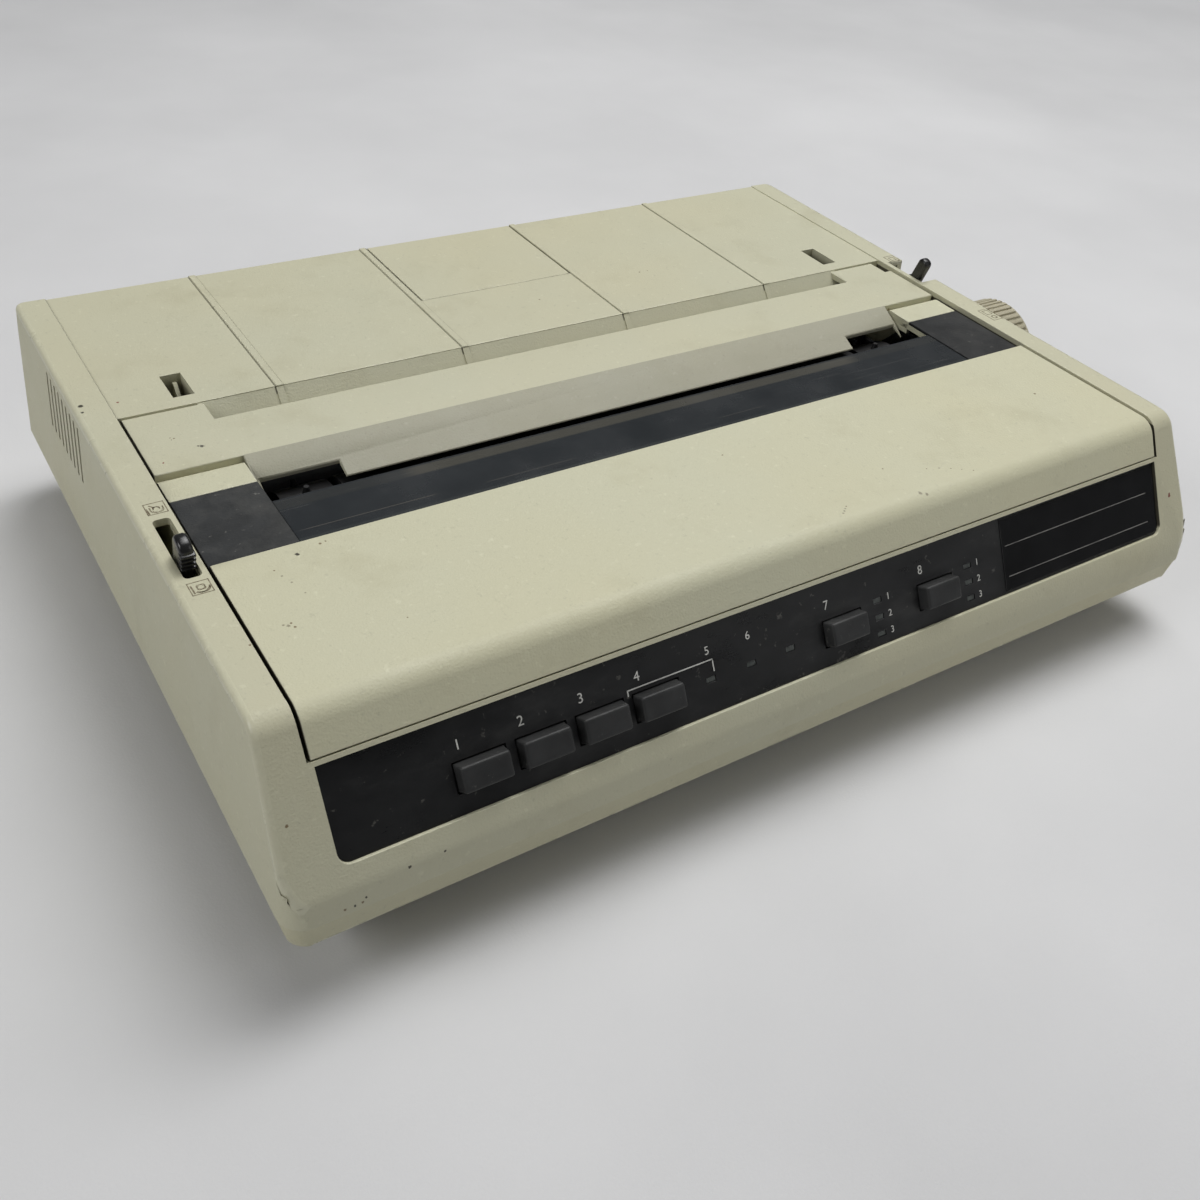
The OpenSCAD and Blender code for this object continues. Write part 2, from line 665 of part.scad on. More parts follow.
module panel_board() color("#2E5A3A") in_case() on_slope() {
    box([button_xs[0] - 18, -panel_len + 4, -board_sink - 1.6], [led_spots[8][0] + 10, -4, -board_sink]);
    // one tact switch under each button, and one light under each lens
    for (x = button_xs) translate([x, -button_s, -board_sink - eps])
        cylinder(h = board_sink - depth_top - panel_t - button_travel - 1.9, r = 3);
    for (p = led_spots) translate([p[0], -p[1], -board_sink - eps])
        cylinder(h = board_sink - depth_top - panel_t - 0.3, r = 0.95);
    // clips that carry the board on the back of the panel
    for (x = [button_xs[0] - 14, led_spots[8][0] + 6])
        box([x - 2, -panel_len + 6, -board_sink - eps], [x + 2, -6, -depth_top - panel_t]);
}
cap_draft = 0.3;
cap_edge = 0.5;
function cap_outline(half, z0, z1) = [
    [-half, z0], [-half, -depth_top], [cap_draft - half, z1 - cap_edge],
    [cap_draft + cap_edge - half, z1], [half - cap_draft - cap_edge, z1],
    [half - cap_draft, z1 - cap_edge], [half, -depth_top], [half, z0]
];
// A cap with a stem that runs in the panel's opening, and a flange that stops it from behind
module button(i) color("#2B2C2C") in_case() on_slope() translate([button_xs[i], -button_s, 0]) {
    back = -depth_top - panel_t;
    top = button_out - depth_top;
    intersection() {
        along_y(-button_len / 2, button_len / 2) polygon(cap_outline(button_w / 2, back - 1.2, top));
        along_x(-button_w / 2, button_w / 2) polygon(cap_outline(button_len / 2, back - 1.2, top));
    }
    box([-button_w / 2 - 1.4, -button_len / 2 - 1.4, back - 1.2],
        [button_w / 2 + 1.4, button_len / 2 + 1.4, back - 0.2]);
}
module button_1() button(0);
module button_2() button(1);
module button_3() button(2);
module button_4() button(3);
module button_5() button(4);
module button_6() button(5);

// =================================================================== frames and paper path
frame_t = 2;
frame_outline = [
    [-104, floor_z], [66, floor_z], [66, platen_z - 2.5], [19, platen_z - 2.5], [6, platen_z + 11.5],
    [-22, platen_z + 11.5], [-28, platen_z - 4.5], [-104, platen_z - 4.5]
];
bushing_r = 7;
bail_pivot = [-14, platen_z - 22.5];
cradle_pivot = [18, platen_z - 28.5];
cradle_pin_r = 2.5;
frame_feet = [-92, 60];
module side_frame() {
    difference() {
        union() {
            along_x(frame_x, frame_x + frame_t) polygon(frame_outline);
            for (y = frame_feet)
                box([frame_x - 12, y - 5.5, floor_z], [frame_x + eps, y + 5.5, floor_z + frame_t]);
        }
        rod_x(frame_x - 1, frame_x + 3, -platen_y, platen_z, bushing_r);
        rod_x(frame_x - 1, frame_x + 3, -guide_y, guide_z, guide_r);
        rod_x(frame_x - 1, frame_x + 3, bail_pivot[0], bail_pivot[1], cradle_pin_r + run_gap);
        rod_x(frame_x - 1, frame_x + 3, cradle_pivot[0], cradle_pivot[1], cradle_pin_r + run_gap);
        for (y = frame_feet) translate([frame_x - 7, y, 0]) cylinder(h = 20, r = 1.6);
        // lightening window
        along_x(frame_x - 1, frame_x + 3) polygon([
            [-50, floor_z + 6.5], [-24, floor_z + 6.5], [-24, platen_z - 14.5], [-44, platen_z - 14.5]
        ]);
    }
}
module side_frame_right() color("#8E9092") in_case() side_frame();
module side_frame_left() color("#8E9092") in_case() difference() {
    mirror([1, 0, 0]) side_frame();
    rod_x(-frame_x - 3, -frame_x + 1, feed_motor_c[0], feed_motor_c[1], 8);
    rod_x(-frame_x - 3, -frame_x + 1, idler_c[0], idler_c[1], 2.5);
}
module platen_bushings() color("#C9C4A8") in_case() both_sides() difference() {
    union() {
        rod_x(frame_x - 1.6, frame_x + frame_t + 0.6, -platen_y, platen_z, bushing_r);
        rod_x(frame_x - 1.6, frame_x, -platen_y, platen_z, bushing_r + 1.8);
    }
    rod_x(frame_x - 3, frame_x + 5, -platen_y, platen_z, platen_shaft_r + run_gap);
}
platen_r = pin_count * pin_pitch / (2 * PI);
chute_r = platen_r + feed_pin_h + 1;
chute_t = 1;
chute_x = frame_x - 14;
press_dir = 290;
press_dist = platen_r + press_r + 0.3;
press_y = -platen_y + press_dist * cos(press_dir);
press_z = platen_z + press_dist * sin(press_dir);
press_w = 22;
press_pitch = 56;
function press_x(i) = (i - (press_count - 1) / 2) * press_pitch;
// A trough round the platen's underside, with a ramp up to the deck's front wall
ramp_a = 330;
module paper_chute() color("#A9ABAC") in_case() difference() {
    union() {
        along_x(-chute_x, chute_x) translate([-platen_y, platen_z]) intersection() {
            difference() {
                circle(chute_r + chute_t);
                circle(chute_r);
            }
            sector(3 * chute_r, 200, ramp_a);
        }
        along_x(-chute_x, chute_x) polygon([
            [-platen_y + chute_r * cos(ramp_a), platen_z + chute_r * sin(ramp_a)],
            [deck_y - deck_drop - 0.3, rail_z + 4], [deck_y - deck_drop - 0.3, rail_z + 1],
            [-platen_y + (chute_r + chute_t) * cos(ramp_a), platen_z + (chute_r + chute_t) * sin(ramp_a)]
        ]);
        for (x = [24 - chute_x, chute_x - 24])
            box([x - 5, -platen_y - 6, floor_z], [x + 5, -platen_y + 3, platen_z - chute_r - 0.6]);
    }
    for (i = [0:press_count - 1])
        box([press_x(i) - press_w / 2 - 1.5, -10, 0], [press_x(i) + press_w / 2 + 1.5, 12, platen_z - 8]);
}

// =================================================================== platen group
platen_end = frame_x + 7.4;
wheel_in = wheel_x - wheel_w / 2;
module platen() color("#1C1D1E") in_case() difference() {
    rod_x(-platen_len / 2, platen_len / 2, -platen_y, platen_z, platen_r);
    rod_x(-platen_len, platen_len, -platen_y, platen_z, platen_shaft_r);
}
knob_in = case_w / 2 + 0.3;
knob_end = case_w / 2 + knob_out;
module platen_shaft() color("#B5B8BA") in_case()
    rod_x(-platen_end, knob_end - 4, -platen_y, platen_z, platen_shaft_r);
module pin_wheels() color("#26272A") in_case() both_sides() difference() {
    union() {
        rod_x(wheel_in, wheel_x + wheel_w / 2, -platen_y, platen_z, platen_r - 0.2);
        rod_x(wheel_in + wheel_w - eps, wheel_in + wheel_w + 4, -platen_y, platen_z, platen_shaft_r + 4);
        for (k = [0:pin_count - 1]) translate([wheel_x, -platen_y, platen_z])
            rotate([k * 360 / pin_count, 0, 0]) translate([0, 0, platen_r - 2])
                cylinder(h = 2 + feed_pin_h, r1 = 1.9, r2 = 0.9);
    }
    rod_x(wheel_in - 1, wheel_x + wheel_w, -platen_y, platen_z, platen_shaft_r);
}
gear_x0 = -platen_end;
// The idler lies behind and below the platen gear at this angle, and the motor level behind the idler
gear_phase = -21.2;
platen_gear_r = gear_m * platen_teeth / 2;
idler_r = gear_m * idler_teeth / 2;
pinion_r = gear_m * pinion_teeth / 2;
idler_c = [
    -platen_y + (platen_gear_r + idler_r) * cos(gear_phase),
    platen_z + (platen_gear_r + idler_r) * sin(gear_phase)
];
feed_motor_c = [idler_c[0] + idler_r + pinion_r, idler_c[1]];
idler_phase = gear_phase + 180 + 180 / idler_teeth;
// A tooth of the idler at this angle meets a gap of the pinion
pinion_phase = 180 - idler_phase * idler_teeth / pinion_teeth + 180 / pinion_teeth;
module platen_gear() color("#D9D5C4") in_case()
    gear_x(gear_x0, -platen_y, platen_z, gear_m, platen_teeth, gear_w, platen_shaft_r, gear_phase);
module idler_gear() color("#D9D5C4") in_case() {
    gear_x(gear_x0, idler_c[0], idler_c[1], gear_m, idler_teeth, gear_w, 2, idler_phase);
    rod_x(gear_x0 - 0.6, -frame_x - 0.1, idler_c[0], idler_c[1], 2.5 - run_gap);
}
module feed_pinion() color("#B88A3A") in_case() {
    gear_x(gear_x0, feed_motor_c[0], feed_motor_c[1], gear_m, pinion_teeth, gear_w, 1.5, pinion_phase);
    rod_x(gear_x0 + gear_w - eps, -frame_x - frame_t - 0.4, feed_motor_c[0], feed_motor_c[1], 3.4);
    rod_x(gear_x0 + 0.4, -frame_x + 1, feed_motor_c[0], feed_motor_c[1], 1.5 + eps);
}
feed_body = 17;
module feed_motor() color("#3C3E40") in_case() difference() {
    rod_x(-frame_x, -frame_x + 24, feed_motor_c[0], feed_motor_c[1], feed_body);
    rod_x(-frame_x - 1, -frame_x + 6, feed_motor_c[0], feed_motor_c[1], 1.5 + eps + run_gap);
    rod_x(-frame_x + 4, -frame_x + 20, feed_motor_c[0], feed_motor_c[1] + 3 * feed_body - 3, feed_body * 2);
}
module platen_knob() color("#A9A58F") in_case() difference() {
    union() {
        rod_x(knob_in, knob_end, -platen_y, platen_z, knob_r - 0.8);
        // grip ribs round the rim
        for (k = [0:47]) translate([0, -platen_y, platen_z]) rotate([k * 7.5, 0, 0])
            box([knob_in + 2, -0.75, knob_r - 3], [knob_end - 1, 0.75, knob_r]);
    }
    rod_x(knob_in - 1, knob_end - 4, -platen_y, platen_z, platen_shaft_r);
    difference() {
        rod_x(knob_in - 1, knob_end - 5, -platen_y, platen_z, knob_r - 3);
        rod_x(knob_in - 2, knob_end, -platen_y, platen_z, platen_shaft_r + 4);
    }
}

// =================================================================== paper bail and its lever
bail_dist = norm([bail_y - platen_y, bail_z - platen_z]);
bail_roller_r = bail_dist - platen_r - 0.3;
bail_arm_x = frame_x - 8;
lever_pin_r = 1.5;
tail = 8;
bail_pin = [-bail_lever_y, lever_z - tail];
module strut_2d(a, b, w) {
    d = b - a;
    translate(a) circle(w / 2);
    translate(b) circle(w / 2);
    translate(a) rotate(atan2(d[1], d[0])) translate([0, -w / 2]) square([norm(d), w]);
}
module bail_arm(x) difference() {
    along_x(x, x + 2) {
        strut_2d(bail_pivot, [-bail_y, bail_z], 8);
        if (x < 0) strut_2d([-22, bail_pin[1] + 3], [bail_pin[0] - 1, bail_pin[1] + 3], 10);
        if (x < 0) translate([bail_pin[0] - 4.5, bail_pin[1] - 4.5]) square([9.6, 15]);
    }
    if (x < 0) box([x - 1, bail_pin[0] - 1.7, bail_pin[1] - 2], [x + 3, bail_pin[0] + 3, bail_pin[1] + 9]);
}
module paper_bail() color("#B9BCBE") in_case() {
    rod_x(-bail_arm_x, bail_arm_x, -bail_y, bail_z, bail_r);
    bail_arm(-bail_arm_x - 2);
    bail_arm(bail_arm_x);
    both_sides() rod_x(bail_arm_x + 2 - eps, frame_x + frame_t, bail_pivot[0], bail_pivot[1], cradle_pin_r);
    both_sides() rod_x(bail_arm_x + 2 - eps, frame_x - 0.4, bail_pivot[0], bail_pivot[1], 5);
}
module bail_rollers() color("#202122") in_case() for (i = [-1:1]) difference() {
    rod_x(i * bail_roller_pitch - bail_roller_w / 2, i * bail_roller_pitch + bail_roller_w / 2,
        -bail_y, bail_z, bail_roller_r);
    rod_x(i * bail_roller_pitch - bail_roller_w, i * bail_roller_pitch + bail_roller_w,
        -bail_y, bail_z, bail_r + run_gap);
}
// Side view of a lever about its pivot: tail, stem and rounded grip
module lever_2d(lean_a) rotate(lean_a) {
    top = (case_h - lever_z + grip_h) / cos(lean_a);
    circle(5.5);
    translate([-2.6, 0]) square([5.2, top - 10]);
    translate([-grip_w / 2, top - grip_h - 3]) square([grip_w, grip_h + 3 - grip_w / 2]);
    translate([0, top - grip_w / 2]) circle(grip_w / 2);
}
module bail_lever() color("#1B1B1C") in_case() {
    x0 = -lever_x - lever_t / 2;
    difference() {
        union() {
            along_x(x0, x0 + lever_t) translate([-bail_lever_y, lever_z]) {
                lever_2d(lever_lean);
                strut_2d([0, 0], [0, -tail], 6);
            }
            // ribs across the grip's front
            along_x(x0 - 0.3, x0 + lever_t + 0.3) translate([-bail_lever_y, lever_z]) rotate(lever_lean)
                for (i = [0:3]) translate([-grip_w / 2 - 0.5, case_h - lever_z + 1 + 1.9 * i])
                    square([1.4, 0.9]);
        }
        rod_x(x0 - 1, x0 + lever_t + 1, -bail_lever_y, lever_z, stud_r + run_gap);
    }
    rod_x(x0 + lever_t - eps, -bail_arm_x - 0.6, bail_pin[0], bail_pin[1], lever_pin_r);
}

// =================================================================== pressure rollers and release lever
release_pin = [release_lever_y + tail * sin(lever_lean), lever_z - tail * cos(lever_lean)];
module roller_cradle() color("#A2A4A6") in_case() {
    rod_x(-bail_arm_x, bail_arm_x, press_y, press_z, 1.75);
    both_sides() {
        along_x(bail_arm_x, bail_arm_x + 2) strut_2d(cradle_pivot, [press_y, press_z], 8);
        rod_x(bail_arm_x + 2 - eps, frame_x + frame_t, cradle_pivot[0], cradle_pivot[1], cradle_pin_r);
        rod_x(bail_arm_x + 2 - eps, frame_x - 0.4, cradle_pivot[0], cradle_pivot[1], 5);
    }
    difference() {
        along_x(bail_arm_x, bail_arm_x + 2) {
            strut_2d(cradle_pivot, [cradle_pivot[0] + 7, release_pin[1] - 2], 8);
            translate([release_pin[0] - 7, release_pin[1] - 6]) square([12, 13]);
        }
        box([bail_arm_x - 1, release_pin[0] - 4, release_pin[1] - 3],
            [bail_arm_x + 3, release_pin[0] + 2.2, release_pin[1] + 3]);
    }
}
module pressure_rollers() color("#202122") in_case() for (i = [0:press_count - 1]) difference() {
    rod_x(press_x(i) - press_w / 2, press_x(i) + press_w / 2, press_y, press_z, press_r);
    rod_x(press_x(i) - press_w, press_x(i) + press_w, press_y, press_z, 1.75 + run_gap);
}
module release_lever() color("#1B1B1C") in_case() {
    x0 = lever_x - lever_t / 2;
    difference() {
        along_x(x0, x0 + lever_t) translate([release_lever_y, lever_z]) {
            lever_2d(lever_lean);
            strut_2d([0, 0], release_pin - [release_lever_y, lever_z], 6);
        }
        rod_x(x0 - 1, x0 + lever_t + 1, release_lever_y, lever_z, stud_r + run_gap);
    }
    rod_x(bail_arm_x + 0.2, x0 + eps, release_pin[0], release_pin[1], lever_pin_r);
}

// =================================================================== carriage
home_x = -travel / 2;
module guide_shaft() color("#C2C5C7") in_case()
    rod_x(-frame_x - frame_t, frame_x + frame_t, -guide_y, guide_z, guide_r);
rail_back = -rack_y - 1.25 * rack_m - 2.4;
rack_z = guide_z - 4;
rack_h = 7;
rail_low = floor_z + 6.5;
front_rail_top = guide_z + 7;
module front_rail() color("#8E9092") in_case() along_x(-frame_x, frame_x) polygon([
    [rail_back - 1.5, rail_low], [rail_back + 6, rail_low], [rail_back + 6, rail_low + 1.5],
    [rail_back, rail_low + 1.5],
    [rail_back, front_rail_top], [rail_back - 1.5, front_rail_top]
]);
space_r = rack_m * space_teeth / 2;
rack_pitch = PI * rack_m;
rack_reach = travel / 2 + 3 * rack_pitch;
space_y = -rack_y + space_r;
space_phase = 270;
rack_teeth = 2 * ceil(rack_reach / rack_pitch);
// The gap of the rack at the pinion's rest place is the phase of all its teeth
module rack() color("#D9D5C4") in_case() translate([home_x, -rack_y, rack_z]) linear_extrude(rack_h)
    polygon(concat(
        [[-3 * rack_pitch, rail_back + rack_y]],
        [[-3 * rack_pitch, -1.25 * rack_m]],
        [for (k = [-3:rack_teeth - 4]) for (p = [
                [0.5 * rack_pitch - rack_pitch / 4 + backlash / 2 - 1.25 * rack_m * tan(20), -1.25 * rack_m],
                [0.5 * rack_pitch - rack_pitch / 4 + backlash / 2 + rack_m * tan(20), rack_m],
                [0.5 * rack_pitch + rack_pitch / 4 - backlash / 2 - rack_m * tan(20), rack_m],
                [0.5 * rack_pitch + rack_pitch / 4 - backlash / 2 + 1.25 * rack_m * tan(20), -1.25 * rack_m]
            ]) [k * rack_pitch + p[0], p[1]]],
        [[(rack_teeth - 3) * rack_pitch, -1.25 * rack_m], [(rack_teeth - 3) * rack_pitch, rail_back + rack_y]]
    ));
deck_lo = guide_z + 8;
deck_hi = deck_lo + 3.6;
ribbon_z = [case_h - 15.2, case_h - 5];
motor_top = ribbon_z[0] - 0.8;
module carriage() color("#2B2D2F") in_case() translate([home_x, 0, 0]) difference() {
    union() {
        rod_x(-24, 24, -guide_y, guide_z, guide_r + 4);
        box([-24, -guide_y - 6, guide_z], [24, -guide_y + 6, deck_lo + 1]);
        box([-26, rail_back - 4.2, deck_lo], [26, -44, deck_hi]);
        box([-20, rail_back - 4.2, rack_z + 3], [20, rail_back - 2.1, deck_hi]);
        // head bracket
        both_sides() box([16.2, -62, deck_hi - eps], [19, -52, ribbon_z[0]]);
    }
    rod_x(-30, 30, -guide_y, guide_z, guide_r + run_gap);
    translate([0, space_y, 0]) cylinder(h = 60, r = 4);
}
head_z = platen_z;
nose_tip = -platen_y - platen_r - 1;
head_r = 14;
module print_head() color("#45484A") in_case() translate([home_x, 0, 0]) {
    translate([0, 0, head_z + 4]) rotate([90, 0, 0]) {
        translate([0, 0, 43]) cylinder(h = 18, r = head_r - 3);
        for (i = [0:4]) translate([0, 0, 44 + 3.6 * i]) cylinder(h = 1.4, r = head_r);
    }
    // nose with the wire guide
    translate([-6, 0, 0]) along_x(0, 12) polygon([
        [nose_tip, head_z - 3], [nose_tip, head_z + 3], [-34, head_z + 4.5], [-43.5, head_z + 4.5],
        [-43.5, head_z - 5], [-34, head_z - 4.5]
    ]);
    box([-16.2, -60, deck_hi], [16.2, -46, head_z - 6]);
}
module space_motor() color("#3C3E40") in_case() translate([home_x, space_y, 0]) difference() {
    union() {
        translate([0, 0, deck_hi]) cylinder(h = 2, r = 10);
        translate([0, 0, deck_hi + 2 - eps]) cylinder(h = motor_top - deck_hi - 2, r = 13.5);
    }
    translate([0, 0, deck_hi - 1]) cylinder(h = 8, r = 1.5 + run_gap);
}
module space_pinion() color("#B88A3A") in_case() translate([home_x, space_y, 0]) {
    translate([0, 0, rack_z + 0.5]) gear(rack_m, space_teeth, rack_h - 1, 1.5, space_phase);
    translate([0, 0, rack_z]) cylinder(h = deck_hi + 6 - rack_z, r = 1.5 + eps);
    translate([0, 0, rack_z + rack_h - 0.5 - eps]) cylinder(h = deck_lo - rack_z - rack_h, r = 3);
}
module ribbon_cartridge() color("#222326") in_case() translate([home_x, 0, 0]) {
    difference() {
        box([-52, -99, ribbon_z[0]], [52, -64, ribbon_z[1]]);
        translate([-34, -82, ribbon_z[1] - 2]) cylinder(h = 5, r = 9.6);
    }
    // two arms that carry the ribbon past the head
    both_sides() along_x(15.6, 19.8) polygon([
        [-64 - eps, ribbon_z[1]], [-50, ribbon_z[1] - 4], [-44.5, head_z + 4.3], [-29.5, head_z + 4.3],
        [nose_tip + 0.3, head_z + 6],
        [nose_tip + 0.3, head_z - 6], [-29.5, head_z - 5], [-45.5, head_z - 5],
        [-51, ribbon_z[0]], [-64 - eps, ribbon_z[0]]
    ]);
    box([-19.8, nose_tip + 0.3 - eps, head_z - 6], [19.8, nose_tip + 0.6, head_z + 6]);
}
module ribbon_knob() color("#3A3C40") in_case() translate([home_x - 34, -82, ribbon_z[1] - 2 + 0.3]) {
    difference() {
        cylinder(h = 2.5, r = 9.2);
        translate([0, 0, 1.2]) cylinder(h = 3, r = 7.6);
    }
    translate([-7.8, -0.8, 1]) cube([15.6, 1.6, 1.5]);
}

// =================================================================== electronics and rear
board_z = 16;
board_x0 = 124 - case_w / 2;
board_x1 = case_w / 2 - 34;
power_x0 = 28 - case_w / 2;
power_x1 = power_x0 + 90;
board_y0 = 74;
board_y1 = 108;
port_x = (hatch_x0 + hatch_x1) / 2;
port_h = 16;
module chip(x, y, w, d, h) translate([x, y, board_z + 1.6 - eps]) cube([w, d, h]);
module control_board() color("#2E5A3A") in_case() {
    box([board_x0, board_y0, board_z], [board_x1, board_y1, board_z + 1.6]);
    chip(board_x0 + 10, board_y0 + 6, 52, 15, 4);
    for (i = [0:3]) chip(board_x0 + 74 + 17 * i, board_y0 + 4, 8, 22, 3.6);
    chip(board_x1 - 60, board_y0 + 10, 40, 14, 4);
    chip(board_x1 - 16, board_y0 + 6, 10, 22, 7);
}
module power_board() color("#6B4A2A") in_case() {
    box([power_x0, board_y0, board_z], [power_x1, board_y1, board_z + 1.6]);
    for (x = [power_x0 + 10, power_x0 + 26])
        translate([x, board_y0 + 10, board_z + 1.6 - eps]) cylinder(h = 24, r = 6);
    chip(power_x0 + 4, board_y0 + 24, 30, 4, 22);
}
module transformer() color("#55585A") in_case() {
    core_x = power_x0 + 38;
    box([core_x, board_y0 + 4, board_z + 1.6], [core_x + 42, board_y1 - 4, board_z + 36]);
    box([core_x + 6, board_y0 + 0.5, board_z + 7], [core_x + 36, board_y1 - 0.5, board_z + 30]);
}
module parallel_connector() color("#9DA0A2") in_case() difference() {
    union() {
        box([port_x - port_w / 2 + 0.2, back_y(port_z) - 14, port_z - port_h / 2 + 0.2],
            [port_x + port_w / 2 - 0.2, back_y(port_z + port_h / 2), port_z + port_h / 2 - 0.2]);
        // legs down to the board
        for (x = [port_x - 24, port_x + 24])
            box([x - 3, board_y1 - 6, board_z + 1.6], [x + 3, board_y1 - 2, port_z]);
        box([port_x - 27, board_y1 - 6, port_z - 6], [port_x + 27, back_y(port_z) - 13, port_z + 4]);
    }
    difference() {
        box([port_x - 27, back_y(port_z) - 10, port_z - 6.2], [port_x + 27, half_d + 1, port_z + 6.2]);
        box([port_x - 23, back_y(port_z) - 12, port_z - 1.5],
            [port_x + 23, back_y(port_z) - 3, port_z + 1.5]);
    }
}
module ac_inlet() color("#202122") in_case() difference() {
    box([inlet_x - inlet_w / 2 + 0.2, back_y(port_z) - 22, port_z - inlet_h / 2 + 0.2],
        [inlet_x + inlet_w / 2 - 0.2, back_y(port_z + inlet_h / 2), port_z + inlet_h / 2 - 0.2]);
    difference() {
        box([inlet_x - 10.5, back_y(port_z) - 17, port_z - 7], [inlet_x + 10.5, half_d + 1, port_z + 7]);
        for (p = [[-7, -1.5], [0, 1.5], [7, -1.5]])
            box([inlet_x + p[0] - 1, back_y(port_z) - 19, port_z + p[1] - 2],
                [inlet_x + p[0] + 1, back_y(port_z) - 5, port_z + p[1] + 2]);
    }
}
rocker_w = 20;
rocker_h = 11;
rocker_x = half_w(port_z);
module power_switch() color("#1D1E1F") in_case() difference() {
    box([rocker_x - 18, switch_y - rocker_w / 2 - 0.8, port_z - rocker_h / 2 - 0.8],
        [rocker_x - 0.8, switch_y + rocker_w / 2 + 0.8, port_z + rocker_h / 2 + 0.8]);
    box([rocker_x - 10, switch_y - rocker_w / 2 + 0.6, port_z - rocker_h / 2 + 0.6],
        [rocker_x + 1, switch_y + rocker_w / 2 - 0.6, port_z + rocker_h / 2 - 0.6]);
}
// A shallow V seen from above, with its near half pressed in at rest
rocker_tip = 7;
module power_rocker() color("#2A2B2C") in_case() translate([rocker_x - 4.2, switch_y, port_z]) {
    translate([0, 0, -rocker_h / 2 + 1]) linear_extrude(rocker_h - 2) rotate(-rocker_tip) polygon([
        [-2, -rocker_w / 2 + 1.6], [4.2, -rocker_w / 2 + 1.4], [2.8, 0], [4.2, rocker_w / 2 - 1.4],
        [-2, rocker_w / 2 - 1.6]
    ]);
    translate([-1, 0, -rocker_h / 2 + 0.7]) cylinder(h = rocker_h - 1.4, r = 1.4);
}
screw_head_h = 3;
module screw_z(x, y, z0, z1, r, head) translate([x, y, z0]) {
    cylinder(h = z1 - z0, r = r);
    cylinder(h = 2.2, r = head);
}
module case_screws() color("#9A9C9E") in_case() for (x = [-screw_x, screw_x], y = [-screw_front, screw_back])
    screw_z(x, y, foot_h + 0.8, part_z + screw_bite - 3, screw_r, 3.1);
module frame_screws() color("#9A9C9E") in_case() for (x = [-frame_x + 7, frame_x - 7], y = frame_feet)
    translate([x, y, 0]) {
        translate([0, 0, floor_z]) cylinder(h = frame_t + 1, r = 1.6);
        translate([0, 0, floor_z + frame_t]) cylinder(h = 1.8, r = 3);
    }

lower_case();
feet();
upper_case();
rear_hatch();
guide_bar();
access_cover();
cover_end_caps();
cover_window();
operator_panel();
name_plate();
led_lenses();
panel_board();
button_1();
button_2();
button_3();
button_4();
button_5();
button_6();
side_frame_left();
side_frame_right();
platen_bushings();
paper_chute();
platen();
platen_shaft();
pin_wheels();
platen_gear();
platen_knob();
idler_gear();
feed_motor();
feed_pinion();
paper_bail();
bail_rollers();
bail_lever();
roller_cradle();
pressure_rollers();
release_lever();
guide_shaft();
front_rail();
rack();
carriage();
print_head();
space_motor();
space_pinion();
ribbon_cartridge();
ribbon_knob();
control_board();
power_board();
transformer();
parallel_connector();
ac_inlet();
power_switch();
power_rocker();
case_screws();
frame_screws();
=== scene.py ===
import math
import bpy
from mathutils import Matrix, Vector


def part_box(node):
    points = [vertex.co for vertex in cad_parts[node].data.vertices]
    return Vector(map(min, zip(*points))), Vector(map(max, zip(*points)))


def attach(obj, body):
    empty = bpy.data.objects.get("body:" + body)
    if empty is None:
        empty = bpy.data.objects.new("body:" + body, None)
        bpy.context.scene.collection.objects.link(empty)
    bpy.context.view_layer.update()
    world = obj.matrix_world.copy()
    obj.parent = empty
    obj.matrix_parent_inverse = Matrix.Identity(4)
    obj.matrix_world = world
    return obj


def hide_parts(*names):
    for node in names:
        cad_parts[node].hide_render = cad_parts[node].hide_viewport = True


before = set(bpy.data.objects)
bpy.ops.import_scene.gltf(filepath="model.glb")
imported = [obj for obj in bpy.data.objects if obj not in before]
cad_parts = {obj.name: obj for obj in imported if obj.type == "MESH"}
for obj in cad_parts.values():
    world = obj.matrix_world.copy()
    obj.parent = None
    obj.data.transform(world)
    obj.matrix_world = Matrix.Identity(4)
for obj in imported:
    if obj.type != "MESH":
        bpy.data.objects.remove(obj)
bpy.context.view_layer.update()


# ---- Camera. It stands front left of the printer and looks down on it, a little rolled, as a
# person does who holds a phone over the desk. 36 mm wide sensor, no depth of field.
eye = Vector((-0.2441, -0.3253, 0.29635))
turn, tilt, roll = math.radians(-36.35), math.radians(38.95), math.radians(6.29)
back = Vector((math.sin(turn) * math.cos(tilt), -math.cos(turn) * math.cos(tilt), math.sin(tilt)))
level = (-back).cross(Vector((0, 0, 1))).normalized()
upright = level.cross(-back)
right = math.cos(roll) * level + math.sin(roll) * upright
up = math.cos(roll) * upright - math.sin(roll) * level
bpy.ops.object.camera_add(location=eye)
camera = bpy.context.object
camera.name = "camera"
camera.matrix_world = Matrix((right, up, back)).transposed().to_4x4()
camera.location = eye
camera.data.lens = 36.512
camera.data.sensor_width = 36.0
camera.data.clip_start = 0.01
bpy.context.scene.camera = camera
bpy.context.scene.view_settings.view_transform = "Standard"


